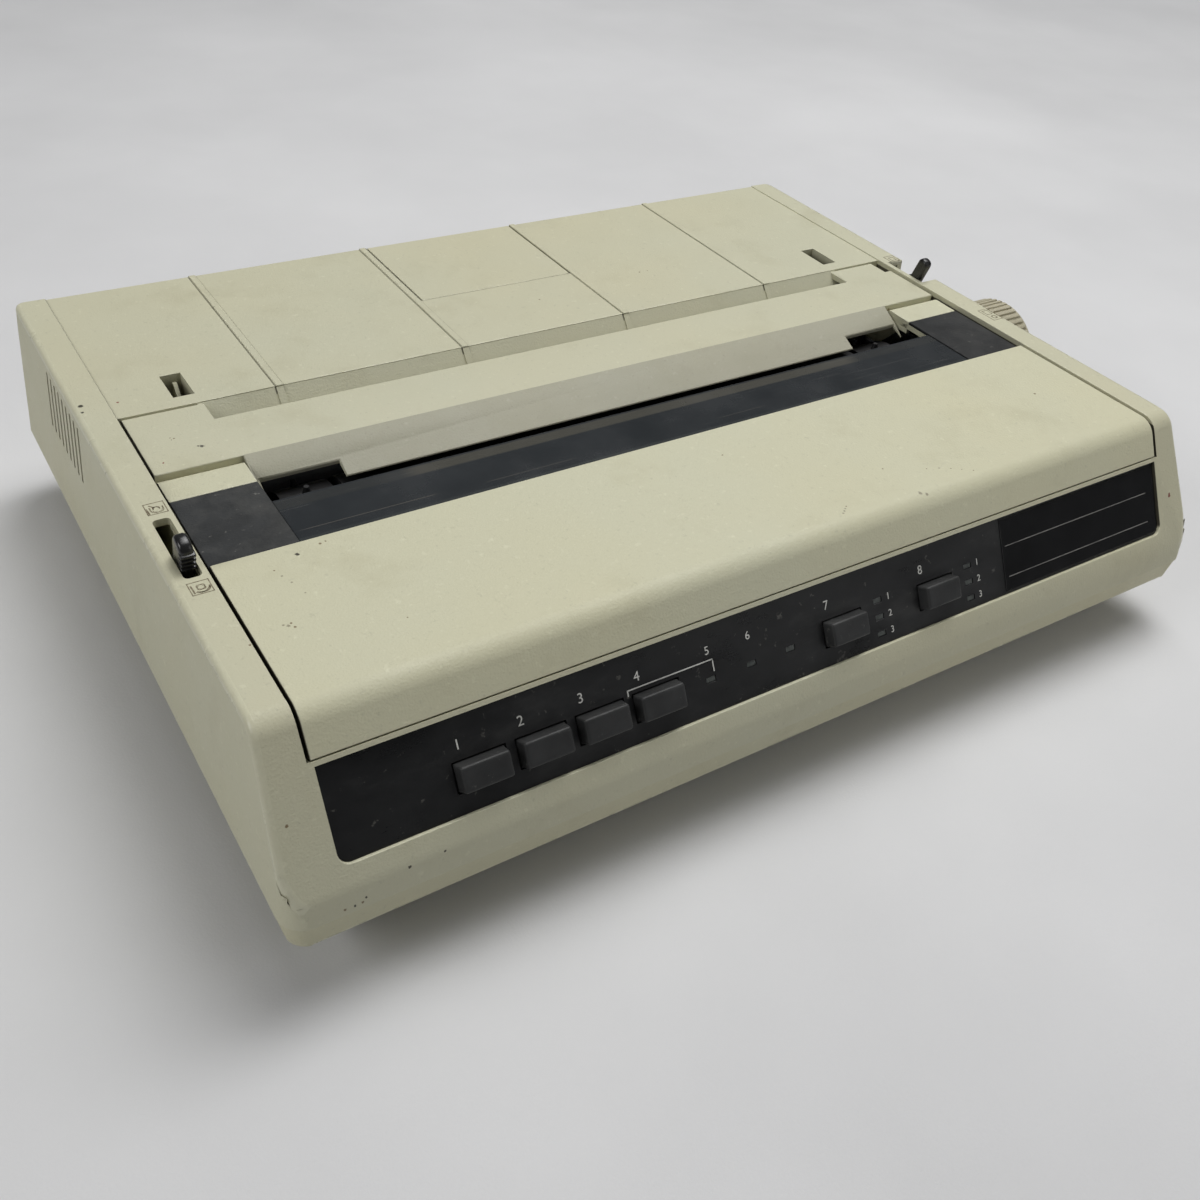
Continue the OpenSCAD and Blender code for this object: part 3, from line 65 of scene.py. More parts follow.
# ---- Studio. The printer stands on a wide sheet of white paper, crumpled very slightly by its
# weight. Broad lamps hang high on the right, and two low ones fill in from the left and front.
class Finish:
    """One surface finish, laid on in layers over the object's own coordinates."""

    def __init__(self, name, gloss=0.5, metal=0.0):
        self.made = bpy.data.materials.new(name)
        self.made.use_nodes = True
        self.tree = self.made.node_tree
        self.shader = self.tree.nodes["Principled BSDF"]
        self.shader.inputs["Specular IOR Level"].default_value = gloss
        self.shader.inputs["Metallic"].default_value = metal
        self.place = self.tree.nodes.new("ShaderNodeTexCoord").outputs["Object"]
        self.height = None

    def plug(self, socket, value):
        if isinstance(value, bpy.types.NodeSocket):
            self.tree.links.new(value, socket)
        elif isinstance(value, tuple):
            socket.default_value = (*value, 1) if len(socket.default_value) == 4 else value
        else:
            socket.default_value = value

    def stretched(self, scale, turn=(0, 0, 0)):
        made = self.tree.nodes.new("ShaderNodeMapping")
        made.inputs["Scale"].default_value = scale
        made.inputs["Rotation"].default_value = turn
        self.plug(made.inputs["Vector"], self.place)
        return made.outputs["Vector"]

    def cloud(self, scale, detail=3.0, rough=0.55, along=None):
        made = self.tree.nodes.new("ShaderNodeTexNoise")
        made.inputs["Scale"].default_value = scale
        made.inputs["Detail"].default_value = detail
        made.inputs["Roughness"].default_value = rough
        self.plug(made.inputs["Vector"], along or self.place)
        return made.outputs["Fac"]

    def cells(self, scale, kind="F1", along=None):
        made = self.tree.nodes.new("ShaderNodeTexVoronoi")
        made.feature = kind
        made.inputs["Scale"].default_value = scale
        self.plug(made.inputs["Vector"], along or self.place)
        return made.outputs["Distance"]

    def span(self, source, low, high, start=0.0, end=1.0):
        made = self.tree.nodes.new("ShaderNodeMapRange")
        for socket, value in zip(list(made.inputs)[1:5], (low, high, start, end)):
            socket.default_value = value
        self.plug(made.inputs["Value"], source)
        return made.outputs["Result"]

    def sum(self, kind, a, b):
        made = self.tree.nodes.new("ShaderNodeMath")
        made.operation = kind
        self.plug(made.inputs[0], a)
        self.plug(made.inputs[1], b)
        return made.outputs["Value"]

    def times(self, a, b):
        return self.sum("MULTIPLY", a, b)

    def tint(self, base, other, share):
        made = self.tree.nodes.new("ShaderNodeMix")
        made.data_type = "RGBA"
        self.plug(made.inputs[6], base)
        self.plug(made.inputs[7], other)
        self.plug(made.inputs[0], share)
        return made.outputs[2]

    def patches(self, one, other, low, high, *cloud):
        """Two colours in soft patches. cloud gives their scale, detail and roughness."""
        return self.tint(one, other, self.span(self.cloud(*cloud), low, high))

    def dab(self, body, colour, low, high, share, *cloud):
        """Lays a colour over the body where a cloud rises from low to high."""
        return self.tint(body, colour, self.times(self.span(self.cloud(*cloud), low, high), share))

    def where(self, axis):
        made = self.tree.nodes.new("ShaderNodeSeparateXYZ")
        self.plug(made.inputs["Vector"], self.place)
        return made.outputs[axis]

    def facing(self, axis, low=0.55, high=0.95):
        flat = self.tree.nodes.new("ShaderNodeNewGeometry")
        split = self.tree.nodes.new("ShaderNodeSeparateXYZ")
        self.plug(split.inputs["Vector"], flat.outputs["Normal"])
        return self.span(split.outputs[axis], low, high)

    def band(self, axis, low, high, soft):
        rise = self.span(self.where(axis), low - soft, low + soft)
        fall = self.span(self.where(axis), high - soft, high + soft, 1.0, 0.0)
        return self.times(rise, fall)

    def spots(self, body, marks):
        """Paints uneven blotches. A mark is its middle and radius in millimetres and its colour."""
        wobble = self.span(self.cloud(1500.0, 3.0, 0.7), 0.25, 0.75, 0.55, 1.6)
        for middle, radius, colour in marks:
            away = self.tree.nodes.new("ShaderNodeVectorMath")
            away.operation = "DISTANCE"
            self.plug(away.inputs[0], self.place)
            self.plug(away.inputs[1], tuple(v / 1000 for v in middle))
            uneven = self.times(away.outputs["Value"], wobble)
            inside = self.span(uneven, radius / 1000, radius / 1450, 0.0, 0.92)
            body = self.tint(body, colour, inside)
        return body

    def colour(self, value):
        self.plug(self.shader.inputs["Base Color"], value)

    def rough(self, value):
        self.plug(self.shader.inputs["Roughness"], value)

    def sheen(self, polished, dull, low, high, *cloud):
        """Roughness that wanders between polished and dull."""
        self.rough(self.span(self.cloud(*cloud), low, high, polished, dull))

    def relief(self, height, depth, strength=1.0):
        made = self.tree.nodes.new("ShaderNodeBump")
        made.inputs["Strength"].default_value = strength
        made.inputs["Distance"].default_value = depth
        self.plug(made.inputs["Height"], height)
        if self.height:
            self.plug(made.inputs["Normal"], self.height)
        self.height = made.outputs["Normal"]
        self.plug(self.shader.inputs["Normal"], self.height)


room_light = (0.97, 0.98, 1.0)
paper = Finish("white_paper", gloss=0.2)
paper.colour(paper.patches((0.66, 0.66, 0.665), (0.735, 0.735, 0.74), 0.35, 0.7, 4.0, 4.0))
paper.sheen(0.84, 0.95, 0.3, 0.7, 40.0)
paper.relief(paper.cloud(16.0, 5.0, 0.5), 0.0016, 0.35)
paper.relief(paper.cloud(1100.0, 3.0), 0.0002, 0.3)
# Far from the printer the lens sees the paper as pale as the room, so no horizon shows.
far = paper.tree.nodes.new("ShaderNodeVectorMath")
far.operation = "LENGTH"
paper.plug(far.inputs[0], paper.place)
lens_ray = paper.tree.nodes.new("ShaderNodeLightPath").outputs["Is Camera Ray"]
paper.plug(paper.shader.inputs["Emission Color"], room_light)
glow = paper.times(lens_ray, paper.span(far.outputs["Value"], 0.9, 3.2, 0.0, 0.52))
paper.plug(paper.shader.inputs["Emission Strength"], glow)
bpy.ops.object.select_all(action="DESELECT")
bpy.ops.mesh.primitive_plane_add(size=8.0, location=(0, 0, -0.0001))
sheet = bpy.context.object
sheet.name = "paper_sheet"
sheet.data.materials.append(paper.made)

world = bpy.data.worlds.new("room")
bpy.context.scene.world = world
world.use_nodes = True
room = world.node_tree.nodes["Background"]
room.inputs["Color"].default_value = (*room_light, 1)
# The lens sees the far wall of the room pale; what falls on the printer stays as dim as it is.
ray = world.node_tree.nodes.new("ShaderNodeLightPath")
wall = world.node_tree.nodes.new("ShaderNodeMapRange")
wall.inputs["To Min"].default_value = 0.07
wall.inputs["To Max"].default_value = 0.62
world.node_tree.links.new(ray.outputs["Is Camera Ray"], wall.inputs["Value"])
world.node_tree.links.new(wall.outputs["Result"], room.inputs["Strength"])


def soft_lamp(name, place, target, size, power):
    bpy.ops.object.light_add(type="AREA", location=place)
    lamp = bpy.context.object
    lamp.name = name
    lamp.data.shape = "RECTANGLE"
    lamp.data.size, lamp.data.size_y = size
    lamp.data.energy = power
    lamp.rotation_euler = (Vector(target) - Vector(place)).to_track_quat("-Z", "Y").to_euler()


soft_lamp("ceiling_lamp", (0.51, 0.51, 1.54), (0, 0, 0), (0.8, 0.8), 9.3)
soft_lamp("right_lamp", (0.66, 0.20, 1.56), (0, 0, 0), (0.8, 1.3), 11.0)
soft_lamp("overhead_lamp", (0, 0, 1.7), (0, 0, 0), (0.8, 0.8), 3.0)
soft_lamp("left_fill", (-1.44, 0, 0.9), (0, 0, 0), (0.8, 0.8), 7.4)
soft_lamp("front_fill", (0.42, -0.64, 0.42), (0.05, -0.1, 0), (0.4, 0.4), 0.62)


# ---- Case mouldings. The top shell and the bottom tray are styrene mouldings with a fine sandy
# grain from the tool. Every edge that a hand meets is broken by a small round, and there the
# grain is rubbed pale. Four screws from below pull the two halves together.
case_mid, strip_top, deck_top = -9.0, 80.0, 79.5  # x of the case's middle, and two heights
slope_y, slope_z, slope_angle = -119.95, 66.3, math.radians(60.2)  # the sloped front's top edge
rib_lefts, rib_wide = (-123.6, -51.5, 20.6, 92.7), 2.6  # the four ribs along the deck


def alone(piece):
    """Selects one piece and nothing else."""
    bpy.ops.object.select_all(action="DESELECT")
    bpy.context.view_layer.objects.active = piece
    piece.select_set(True)


def picked(piece, wanted):
    """Selects a piece's vertices by their place in metres. It starts and ends in edit mode."""
    bpy.ops.mesh.select_all(action="DESELECT")
    bpy.ops.object.mode_set(mode="OBJECT")
    for vertex in piece.data.vertices:
        vertex.select = wanted(vertex.co)
    bpy.ops.object.mode_set(mode="EDIT")


def rounded_copy(node, name, rounds, segments=3, crowded=()):
    """A copy of a node's solid, its loose triangles merged into whole faces, with chosen edges
    rounded. rounds gives a radius in millimetres from an edge's middle, its two normals and its
    length. The rounded strips take the second finish. Where a round ends among short edges, at
    the crowded places, its points are merged."""
    same_point, same_plane, short_edges, corner_reach = 0.000002, math.radians(0.6), 0.0009, 3.5
    piece = bpy.data.objects.new(name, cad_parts[node].data.copy())
    bpy.context.scene.collection.objects.link(piece)
    alone(piece)
    bpy.ops.object.mode_set(mode="EDIT")
    bpy.ops.mesh.select_all(action="SELECT")
    bpy.ops.mesh.remove_doubles(threshold=same_point)
    bpy.ops.mesh.dissolve_limited(angle_limit=same_plane)
    bpy.ops.object.mode_set(mode="OBJECT")
    mesh = piece.data
    sides = {}
    for face in mesh.polygons:
        face.material_index = 0
        for key in face.edge_keys:
            sides.setdefault(key, []).append(face.normal)
    radii = [0.0] * len(mesh.edges)
    for edge in mesh.edges:
        pair = sides.get(edge.key, [])
        if len(pair) == 2 and pair[0].dot(pair[1]) < 0.9:
            a, b = (mesh.vertices[i].co * 1000 for i in edge.vertices)
            radii[edge.index] = rounds((a + b) / 2, pair[0], pair[1], (b - a).length)
    if max(radii) > 0:
        weight = mesh.attributes.new("bevel_weight_edge", "FLOAT", "EDGE")
        weight.data.foreach_set("value", [r / max(radii) for r in radii])
        bevel = piece.modifiers.new("broken_edges", "BEVEL")
        bevel.limit_method = "WEIGHT"
        bevel.width = max(radii) / 1000
        bevel.segments = segments
        bevel.use_clamp_overlap = False
        bevel.material = 1
        mesh.materials.clear()
        mesh.materials.append(None)
        mesh.materials.append(None)
        bpy.ops.object.modifier_apply(modifier=bevel.name)
    if crowded:
        bpy.ops.object.mode_set(mode="EDIT")
        picked(piece, lambda at: any((at * 1000 - Vector(corner)).length < corner_reach
                                     for corner in crowded))
        bpy.ops.mesh.remove_doubles(threshold=short_edges)
        bpy.ops.object.mode_set(mode="OBJECT")
    bpy.ops.object.shade_smooth_by_angle(angle=math.radians(34))
    even = piece.modifiers.new("even_shading", "WEIGHTED_NORMAL")
    even.keep_sharp = True
    bpy.ops.object.modifier_apply(modifier=even.name)
    return piece


def fit(piece, body, slot, finishes, *nodes):
    """Lays the finishes on a piece and fastens it to its body, in place of the named nodes."""
    kept = [min(face.material_index, len(finishes) - 1) for face in piece.data.polygons]
    piece.data.materials.clear()
    for finish in finishes:
        piece.data.materials.append(finish.made)
    piece.data.polygons.foreach_set("material_index", kept)
    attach(piece, body)
    if nodes:
        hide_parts(*nodes)


def aged_styrene(name, colour, yellowed, rubbed=False, marks=(), shade_boxes=()):
    """Beige moulding: sandy grain, uneven yellowing, hand grime in patches, dark and pale specks,
    fine scratches, painted shade in the joints and in the given boxes, and listed chips."""
    it = Finish(name, gloss=0.40)
    dark = tuple(c * 0.62 for c in colour)
    pale = tuple(min(0.95, c * 1.22 + 0.05) for c in colour)
    grimy = tuple(c * f for c, f in zip(colour, (0.80, 0.77, 0.70)))
    body = it.patches(colour, yellowed, 0.35, 0.7, 9.0, 3.0)
    body = it.dab(body, grimy, 0.55, 0.74, 0.42, 31.0, 7.0, 0.66)
    body = it.dab(body, dark, 0.62, 0.74, 0.28, 520.0, 3.0, 0.6)
    body = it.dab(body, pale, 0.64, 0.76, 0.30, 430.0, 2.0, 0.5)
    scratched = it.stretched((1.0, 12.0, 5.0), (0, 0, 0.5))
    body = it.dab(body, dark, 0.69, 0.73, 0.35, 24.0, 10.0, 0.82, scratched)
    nick = it.times(it.span(it.cells(31.0), 0.022, 0.012), it.span(it.cloud(11.0), 0.56, 0.60))
    body = it.tint(body, (0.05, 0.045, 0.04), it.times(nick, 0.8))
    if rubbed:
        body = it.dab(body, pale, 0.40, 0.62, 0.15, 210.0, 6.0, 0.75)
        body = it.dab(body, dark, 0.60, 0.70, 0.12, 90.0, 5.0, 0.7)
    # Painted shade: the walls of the joint between the cover and the side strips are painted near
    # black where shade falls in the gap; at the right only its lower part is.
    off_middle = it.sum("ABSOLUTE", it.sum("SUBTRACT", it.where("X"), case_mid / 1000), 0.0)
    gap_shade = it.times(it.span(off_middle, 0.1664, 0.1666), it.span(off_middle, 0.1688, 0.1686))
    left, under = it.span(it.where("X"), 0.0, -0.01), it.span(it.where("Z"), 0.0781, 0.0777)
    gap_shade = it.times(gap_shade, it.sum("MAXIMUM", left, under))
    sideways = it.sum("MAXIMUM", it.facing("X", 0.5, 0.8), it.facing("X", -0.5, -0.8))
    body = it.tint(body, (0.028, 0.023, 0.016), it.times(it.times(gap_shade, sideways), 0.93))
    # Painted shade: each box darkens the surface near black where shade falls.
    for *walls, soft, share in shade_boxes:
        x0, x1, y0, y1, z0, z1, soft = (v / 1000 for v in (*walls, soft))
        shade_box = it.times(it.band("X", x0, x1, soft), it.band("Y", y0, y1, soft))
        shade_box = it.times(shade_box, it.band("Z", z0, z1, soft))
        body = it.tint(body, (0.022, 0.017, 0.010), it.times(shade_box, share))
    it.colour(it.spots(body, marks) if marks else body)
    it.sheen(0.34 if rubbed else 0.60, 0.24 if rubbed else 0.48, 0.3, 0.7, 60.0, 5.0)
    it.relief(it.cloud(1400.0, 2.0, 0.5), 0.00016, 0.5 if rubbed else 0.85)
    it.relief(it.cloud(420.0, 3.0, 0.5), 0.00012, 0.35)
    return it


chip, brown, red = (0.018, 0.014, 0.010), (0.19, 0.135, 0.07), (0.21, 0.035, 0.025)
shell_marks = [
    ((-185.5, 51.8, 80), 1.05, chip), ((-186.0, 47.6, 80), 0.62, chip),
    ((-186.9, 58.6, 80), 0.3, brown), ((-174.1, 50.4, 79.5), 0.45, red),
    ((-171.6, 9.8, 79), 0.45, red), ((-123.7, 104.8, 79.8), 0.7, chip),
    ((-157.9, 14.4, 79), 0.85, (0.06, 0.055, 0.045)),
    ((-158.9, 14.9, 79), 0.5, (0.06, 0.055, 0.045)), ((-164.4, 22.3, 79), 0.4, brown),
    ((-165.4, 23.1, 79), 0.35, brown), ((-165.3, 21.8, 79), 0.3, brown),
    ((48.9, 70.5, 79.5), 0.42, brown), ((52.9, 70.4, 79.5), 0.35, brown),
    ((-4.3, 63.8, 79.5), 0.42, brown), ((-177.9, -84.5, 80), 0.45, brown),
    ((-190.8, -127.6, 52.6), 0.55, chip), ((-190.9, -128.2, 51.5), 0.55, chip),
    ((-191.0, -128.7, 50.4), 0.5, chip), ((-191.1, -129.2, 49.4), 0.4, chip),
    ((-191.2, -129.8, 48.3), 0.3, chip), ((-186.0, -126.0, 55.8), 0.5, brown),
    ((-158.1, -137.3, 35.6), 0.55, chip), ((-147.7, -137.2, 35.9), 0.45, chip),
    ((-177.0, -138.1, 30.4), 0.5, brown), ((-174.2, -138.2, 30.3), 0.45, chip),
    ((-172.0, -138.1, 30.5), 0.5, brown), ((-170.9, -137.9, 31.6), 0.45, chip),
    ((164.5, -127.4, 53.2), 0.85, red), ((164.6, -127.0, 54.0), 0.6, red),
    ((133.2, 3.4, 76.3), 1.3, brown), ((133.5, 2.6, 73.6), 1.6, brown),
    ((133.8, 1.8, 71.0), 1.1, brown)]
# Painted shade darkens the inside of the latch slots, both sides of each rib (the left side more)
# and the joint round the hatch. A row is x from and to, y from and to, z from and to, how soft its
# edge is, and its share of black.
beside_ribs, latch_lefts = (38.5, 140, 66, 79.72), (-157.5, 131.3)
shell_shade_boxes = [(x, x + 8.2, 45.8, 62.3, 60, 76.8, 1.6, 0.93) for x in latch_lefts]
shell_shade_boxes += [(x - 0.45, x, *beside_ribs, 0.07, 0.72) for x in rib_lefts]
shell_shade_boxes += [(x + rib_wide, x + rib_wide + 0.35, *beside_ribs, 0.07, 0.34) for x in rib_lefts]
shell_shade_boxes += [(-48.7, -47.7, 80.6, 140, 60, 79.9, 0.1, 0.75),
               (-48.3, 20.6, 80.35, 81.1, 60, 79.9, 0.1, 0.5)]
shell_plastic = aged_styrene("aged_shell", (0.566, 0.556, 0.412), (0.578, 0.553, 0.392),
                             marks=shell_marks, shade_boxes=shell_shade_boxes)
shell_edges = aged_styrene("aged_shell_rubbed", (0.60, 0.59, 0.445), (0.61, 0.585, 0.42),
                           rubbed=True)
tray_plastic = aged_styrene("aged_tray", (0.545, 0.528, 0.375), (0.555, 0.523, 0.355))
tray_edges = aged_styrene("aged_tray_rubbed", (0.56, 0.543, 0.39), (0.57, 0.538, 0.37),
                          rubbed=True)


def shell_rounds(at, n1, n2, length):
    """Wide at the outer front and side edges, narrow on the deck and round the panel."""
    x, upward = abs(at.x - case_mid), max(n1.z, n2.z)
    if at.z < 34 or length < 0.3:
        return 0.0
    outward = max(n1.x * (at.x - case_mid), n2.x * (at.x - case_mid)) > 0.4 * x
    outer = x > 176.5 and (outward or max(n1.y, n2.y) > 0.9)
    if outer and (upward > 0.5 or min(n1.y, n2.y) < -0.8) and (at.y < -100 or at.z > 79.9):
        return 2.0 * min(1.0, max(0.18, (135.0 - at.y) / 4.0))
    if at.z > strip_top - 0.05 and upward > 0.9:
        return 0.35
    if abs(at.z - deck_top) < 0.05 and upward > 0.9 and length > 2:
        return 0.5 if at.y < 41 or at.y > 130 else 0.2
    over_slope = (at.z - slope_z) * math.cos(slope_angle) - (at.y - slope_y) * math.sin(slope_angle)
    if x < 167 and abs(over_slope) < 0.05 and at.z < 66 and abs(n1.dot(n2)) < 0.1:
        return 0.3
    return 0.0


shell_corners = [(x, -136.6, 37.2) for x in (-188.6, 170.6)]
upper_shell = rounded_copy("upper_case", "upper_shell", shell_rounds, crowded=shell_corners)
fit(upper_shell, "case", "shell", (shell_plastic, shell_edges), "upper_case")


def tray_rounds(at, n1, n2, length):
    """Only the undercut band's lower edge, away from the corners."""
    off_middle = abs(at.x - case_mid)
    upright = abs(n1.z) < 0.8 and abs(n2.z) < 0.8
    if length < 2 or at.z < 7.2 or (upright and at.z < 19 and off_middle > 165):
        return 0.0
    if abs(at.z - 19.3) < 0.3 and off_middle < 183 and min(n1.z, n2.z) < -0.3:
        return 1.2
    return 0.0


lower_tray = rounded_copy("lower_case", "lower_tray", tray_rounds)
fit(lower_tray, "case", "base_shell", (tray_plastic, tray_edges), "lower_case")


# ---- Paper slope and latch tongues. Behind the slot the deck turns down in a slope that leads
# the paper in, with the four ribs running over it; a thin tongue stands in each latch slot, and
# catches a clip-on paper guide. They are part of the top moulding.
def block_of(size):
    """A block of this size in millimetres about the origin, left in edit mode, all selected."""
    bpy.ops.object.select_all(action="DESELECT")
    bpy.ops.mesh.primitive_cube_add(size=0.001, location=(0, 0, 0))
    block = bpy.context.object
    bpy.ops.object.mode_set(mode="EDIT")
    bpy.ops.transform.resize(value=size)
    return block


def joined(parts, name):
    """Joins loose parts into the first of them."""
    bpy.ops.object.select_all(action="DESELECT")
    for part in parts:
        part.select_set(True)
    bpy.context.view_layer.objects.active = parts[0]
    bpy.ops.object.join()
    parts[0].name = name
    return parts[0]


def prism(name, size, place, leave):
    """A block whose top front edge is pulled back until the front face leans."""
    block = block_of(size)
    block.name = name
    picked(block, lambda at: at.y < 0 and at.z > 0)
    bpy.ops.transform.translate(value=(0, (size[1] - leave) / 1000, 0))
    bpy.ops.mesh.select_all(action="SELECT")
    bpy.ops.transform.translate(value=tuple(v / 1000 for v in place))
    bpy.ops.object.mode_set(mode="OBJECT")
    return block


slope = [prism("paper_slope", (284.0, 6.8, 7.6), (case_mid, 36.95, 75.25), 0.3)]
for left in rib_lefts:
    place = (left + rib_wide / 2, 36.75, 75.65)
    slope.append(prism("paper_slope_rib", (rib_wide, 7.2, 7.6), place, 0.5))
fit(joined(slope, "paper_slope"), "case", "shell", (shell_plastic,))
for name, left in (("latch_tongue_left", -153.4), ("latch_tongue_right", 135.4)):
    tongue = prism(name, (1.4, 11.7, 10.6), (left + 1.1, 56.05, 71.0), 1.2)
    fit(tongue, "case", "shell", (shell_edges,))


# ---- Rear hatch. A thin lid of the same moulding that lifts off a ledge at the back of the deck,
# over the signal connector; only its hairline joint shows.
def hatch_rounds(at, n1, n2, length):
    return 0.3 if at.z > 70 and max(n1.z, n2.z) > 0.9 and length > 2 else 0.0


hatch = rounded_copy("rear_hatch", "hatch_lid", hatch_rounds)
fit(hatch, "hatch", "shell", (shell_plastic, shell_edges), "rear_hatch")


# ---- Guide bar. The beige bar across the middle clips into the case between the paper slot and
# the window. Its nose slopes down over the platen, its face painted darker as shade for a steeper
# lean than its shape has, and is notched for the paper's edges.
def bar_rounds(at, n1, n2, length):
    return 0.45 if length >= 1.5 and at.z >= 70 and max(n1.z, n2.z) > 0.85 else 0.0


bar = rounded_copy("guide_bar", "paper_bar", bar_rounds)
nose_shade = aged_styrene("nose_painted_shade", (0.37, 0.36, 0.275), (0.385, 0.368, 0.27), marks=shell_marks)
# The nose leans back: each row is a strip, y from and to, z over and up to, and how far it moves.
nose_strips = [
    (-99.0, -12.0, 72.6, 78.0, (0, 2.9, -2.1)), (-99.0, -12.0, 0.0, 72.6, (0, 2.7, -0.8)),
    (-7.6, -5.4, 74.6, 78.0, (0, 1.8, -1.24)), (-7.6, -5.4, 0.0, 74.6, (0, 1.8, -0.46))]
nose_top, nose_half = 78, 137.6
alone(bar)
bpy.ops.object.mode_set(mode="EDIT")
for y0, y1, z0, z1, shift in nose_strips:
    picked(bar, lambda at: y0 < at.y * 1000 < y1 and z0 < at.z * 1000 <= z1
           and at.z * 1000 < nose_top)
    bpy.ops.transform.translate(value=tuple(v / 1000 for v in shift))
picked(bar, lambda at: at.y < -0.009 and abs(at.x * 1000 - case_mid) > nose_half and at.z < 0.0725)
bpy.ops.transform.translate(value=(0, 0.0057, 0.0024))
bpy.ops.mesh.select_all(action="DESELECT")
bpy.ops.object.mode_set(mode="OBJECT")
# Painted shade: the nose's front faces take the darker finish.
for face in bar.data.polygons:
    if face.normal.y < -0.2 and face.center.y < 0.0039:
        face.material_index = 2
fit(bar, "case", "shell", (shell_plastic, shell_edges, nose_shade), "guide_bar")


# ---- Access cover. One beige moulding that rolls over the front bend and swings up on two ears,
# each with a small cheek plate; its lower edge and the lip under it stand just proud of the
# panel's top.
def cover_rounds(at, n1, n2, length):
    x = abs(at.x - case_mid)
    outside = max(n1.z, n2.z) > 0.4 or min(n1.y, n2.y) < -0.8
    if length < 0.8 or not outside:
        return 0.0
    if x > 166.8 and max(abs(n1.x), abs(n2.x)) > 0.9:
        return 0.5
    if at.y < -119 and at.z < 69:
        return 0.35
    if at.z > 77 and length > 3:
        return 0.35
    return 0.0


cover = rounded_copy("access_cover", "front_cover", cover_rounds)
graze = (0.30, 0.275, 0.19)
cover_marks = [
    ((-152.5, -52.7, 79.5), 0.75, chip), ((-144.8, -50.7, 79.5), 0.5, brown),
    ((-142.9, -50.2, 79.5), 0.35, brown), ((-166.1, -81.2, 79.5), 0.6, graze),
    ((-164.8, -82.3, 79.5), 0.5, brown), ((-167.3, -80.3, 79.5), 0.45, graze),
    ((-165.2, -80.4, 79.5), 0.4, brown), ((-160.0, -60.2, 79.5), 0.4, graze),
    ((-158.6, -64.0, 79.5), 0.4, graze), ((-157.0, -70.0, 79.5), 0.35, graze),
    ((-161.0, -57.0, 79.5), 0.35, brown), ((-136.5, -92.0, 79.5), 0.3, brown),
    ((8.9, -107.0, 79.5), 0.4, graze), ((10.1, -106.2, 79.5), 0.5, graze),
    ((11.3, -105.3, 79.5), 0.4, graze), ((12.4, -104.4, 79.5), 0.3, brown),
    ((39.3, -92.7, 79.5), 0.4, brown), ((-6.2, -62.3, 79.5), 0.35, brown),
    ((131.5, -78.4, 79.5), 0.6, brown), ((53.6, -99.3, 79.5), 0.3, brown),
    ((57.9, -100.9, 79.5), 0.3, brown), ((61.7, -102.9, 79.5), 0.3, brown),
    ((64.8, -105.0, 79.5), 0.3, brown), ((68.2, -107.2, 79.3), 0.35, brown),
    ((41.0, -109.3, 79.4), 0.9, graze), ((43.0, -110.5, 79.2), 0.7, graze),
    ((38.2, -110.8, 79.3), 0.45, brown)]
cover_plastic = aged_styrene("aged_cover", (0.604, 0.594, 0.436), (0.612, 0.589, 0.412),
                             marks=cover_marks)
fit(cover, "cover", "shell", (cover_plastic, shell_edges), "access_cover")
for name, middle in (("ear_cheek_left", -149.6), ("ear_cheek_right", 131.6)):
    cheek = block_of((1.6, 10.5, 5.3))
    cheek.name = name
    picked(cheek, lambda at: at.y > 0 and at.z < 0)
    bpy.ops.transform.translate(value=(0, -0.003, 0))
    bpy.ops.mesh.select_all(action="SELECT")
    bpy.ops.mesh.bevel(offset=0.00025, segments=2, affect="EDGES")
    bpy.ops.mesh.select_all(action="SELECT")
    bpy.ops.transform.translate(value=(middle / 1000, -0.00515, 0.07525))
    bpy.ops.object.mode_set(mode="OBJECT")
    fit(cheek, "cover", "shell", (cover_plastic,))


# ---- Cover end pieces. Two matt black mouldings let into the cover's ears at the ends of the
# window, coarse-grained and peppered with pale dust.
def dyed_black(name, colour, rough=0.5, gloss=0.5, dust=0.25, grain=0.00008, specks=0.0,
               shade_to_right=0.0):
    """Black moulding: faint uneven dye, grain, smudges in the gloss, and grey dust on top."""
    it = Finish(name, gloss=gloss)
    body = it.patches(colour, tuple(c * 1.5 + 0.004 for c in colour), 0.4, 0.7, 70.0, 4.0)
    settled = it.times(it.span(it.cloud(55.0, 8.0, 0.7), 0.45, 0.8), dust)
    body = it.tint(body, (0.30, 0.29, 0.26), it.times(it.facing("Z"), settled))
    if specks:
        body = it.dab(body, (0.42, 0.41, 0.37), 0.645, 0.70, specks, 330.0, 4.0, 0.7)
    # Painted shade: the colour darkens towards the right.
    if shade_to_right:
        right_shade = it.span(it.where("X"), -0.05, 0.08, 0.0, shade_to_right)
        body = it.tint(body, (0.008, 0.008, 0.0085), right_shade)
    it.colour(body)
    it.sheen(rough - 0.08, rough + 0.12, 0.3, 0.75, 85.0, 6.0, 0.65)
    it.relief(it.cloud(1250.0, 2.0), grain, 0.6)
    return it


def fine_edges(radius, above=-1000.0, least=1.0):
    """The same small round on every edge over a height that is longer than the least."""
    return lambda at, n1, n2, length: radius if length > least and at.z > above else 0.0


# The right end piece is painted darker as shade.
end_black = dyed_black("end_piece_black", (0.029, 0.0305, 0.031), rough=0.68, gloss=0.26,
                       dust=0.16, grain=0.00030, specks=0.28, shade_to_right=0.42)
caps = rounded_copy("cover_end_caps", "window_end_pieces", fine_edges(0.3, above=76))
fit(caps, "cover", "end_cap", (end_black,), "cover_end_caps")


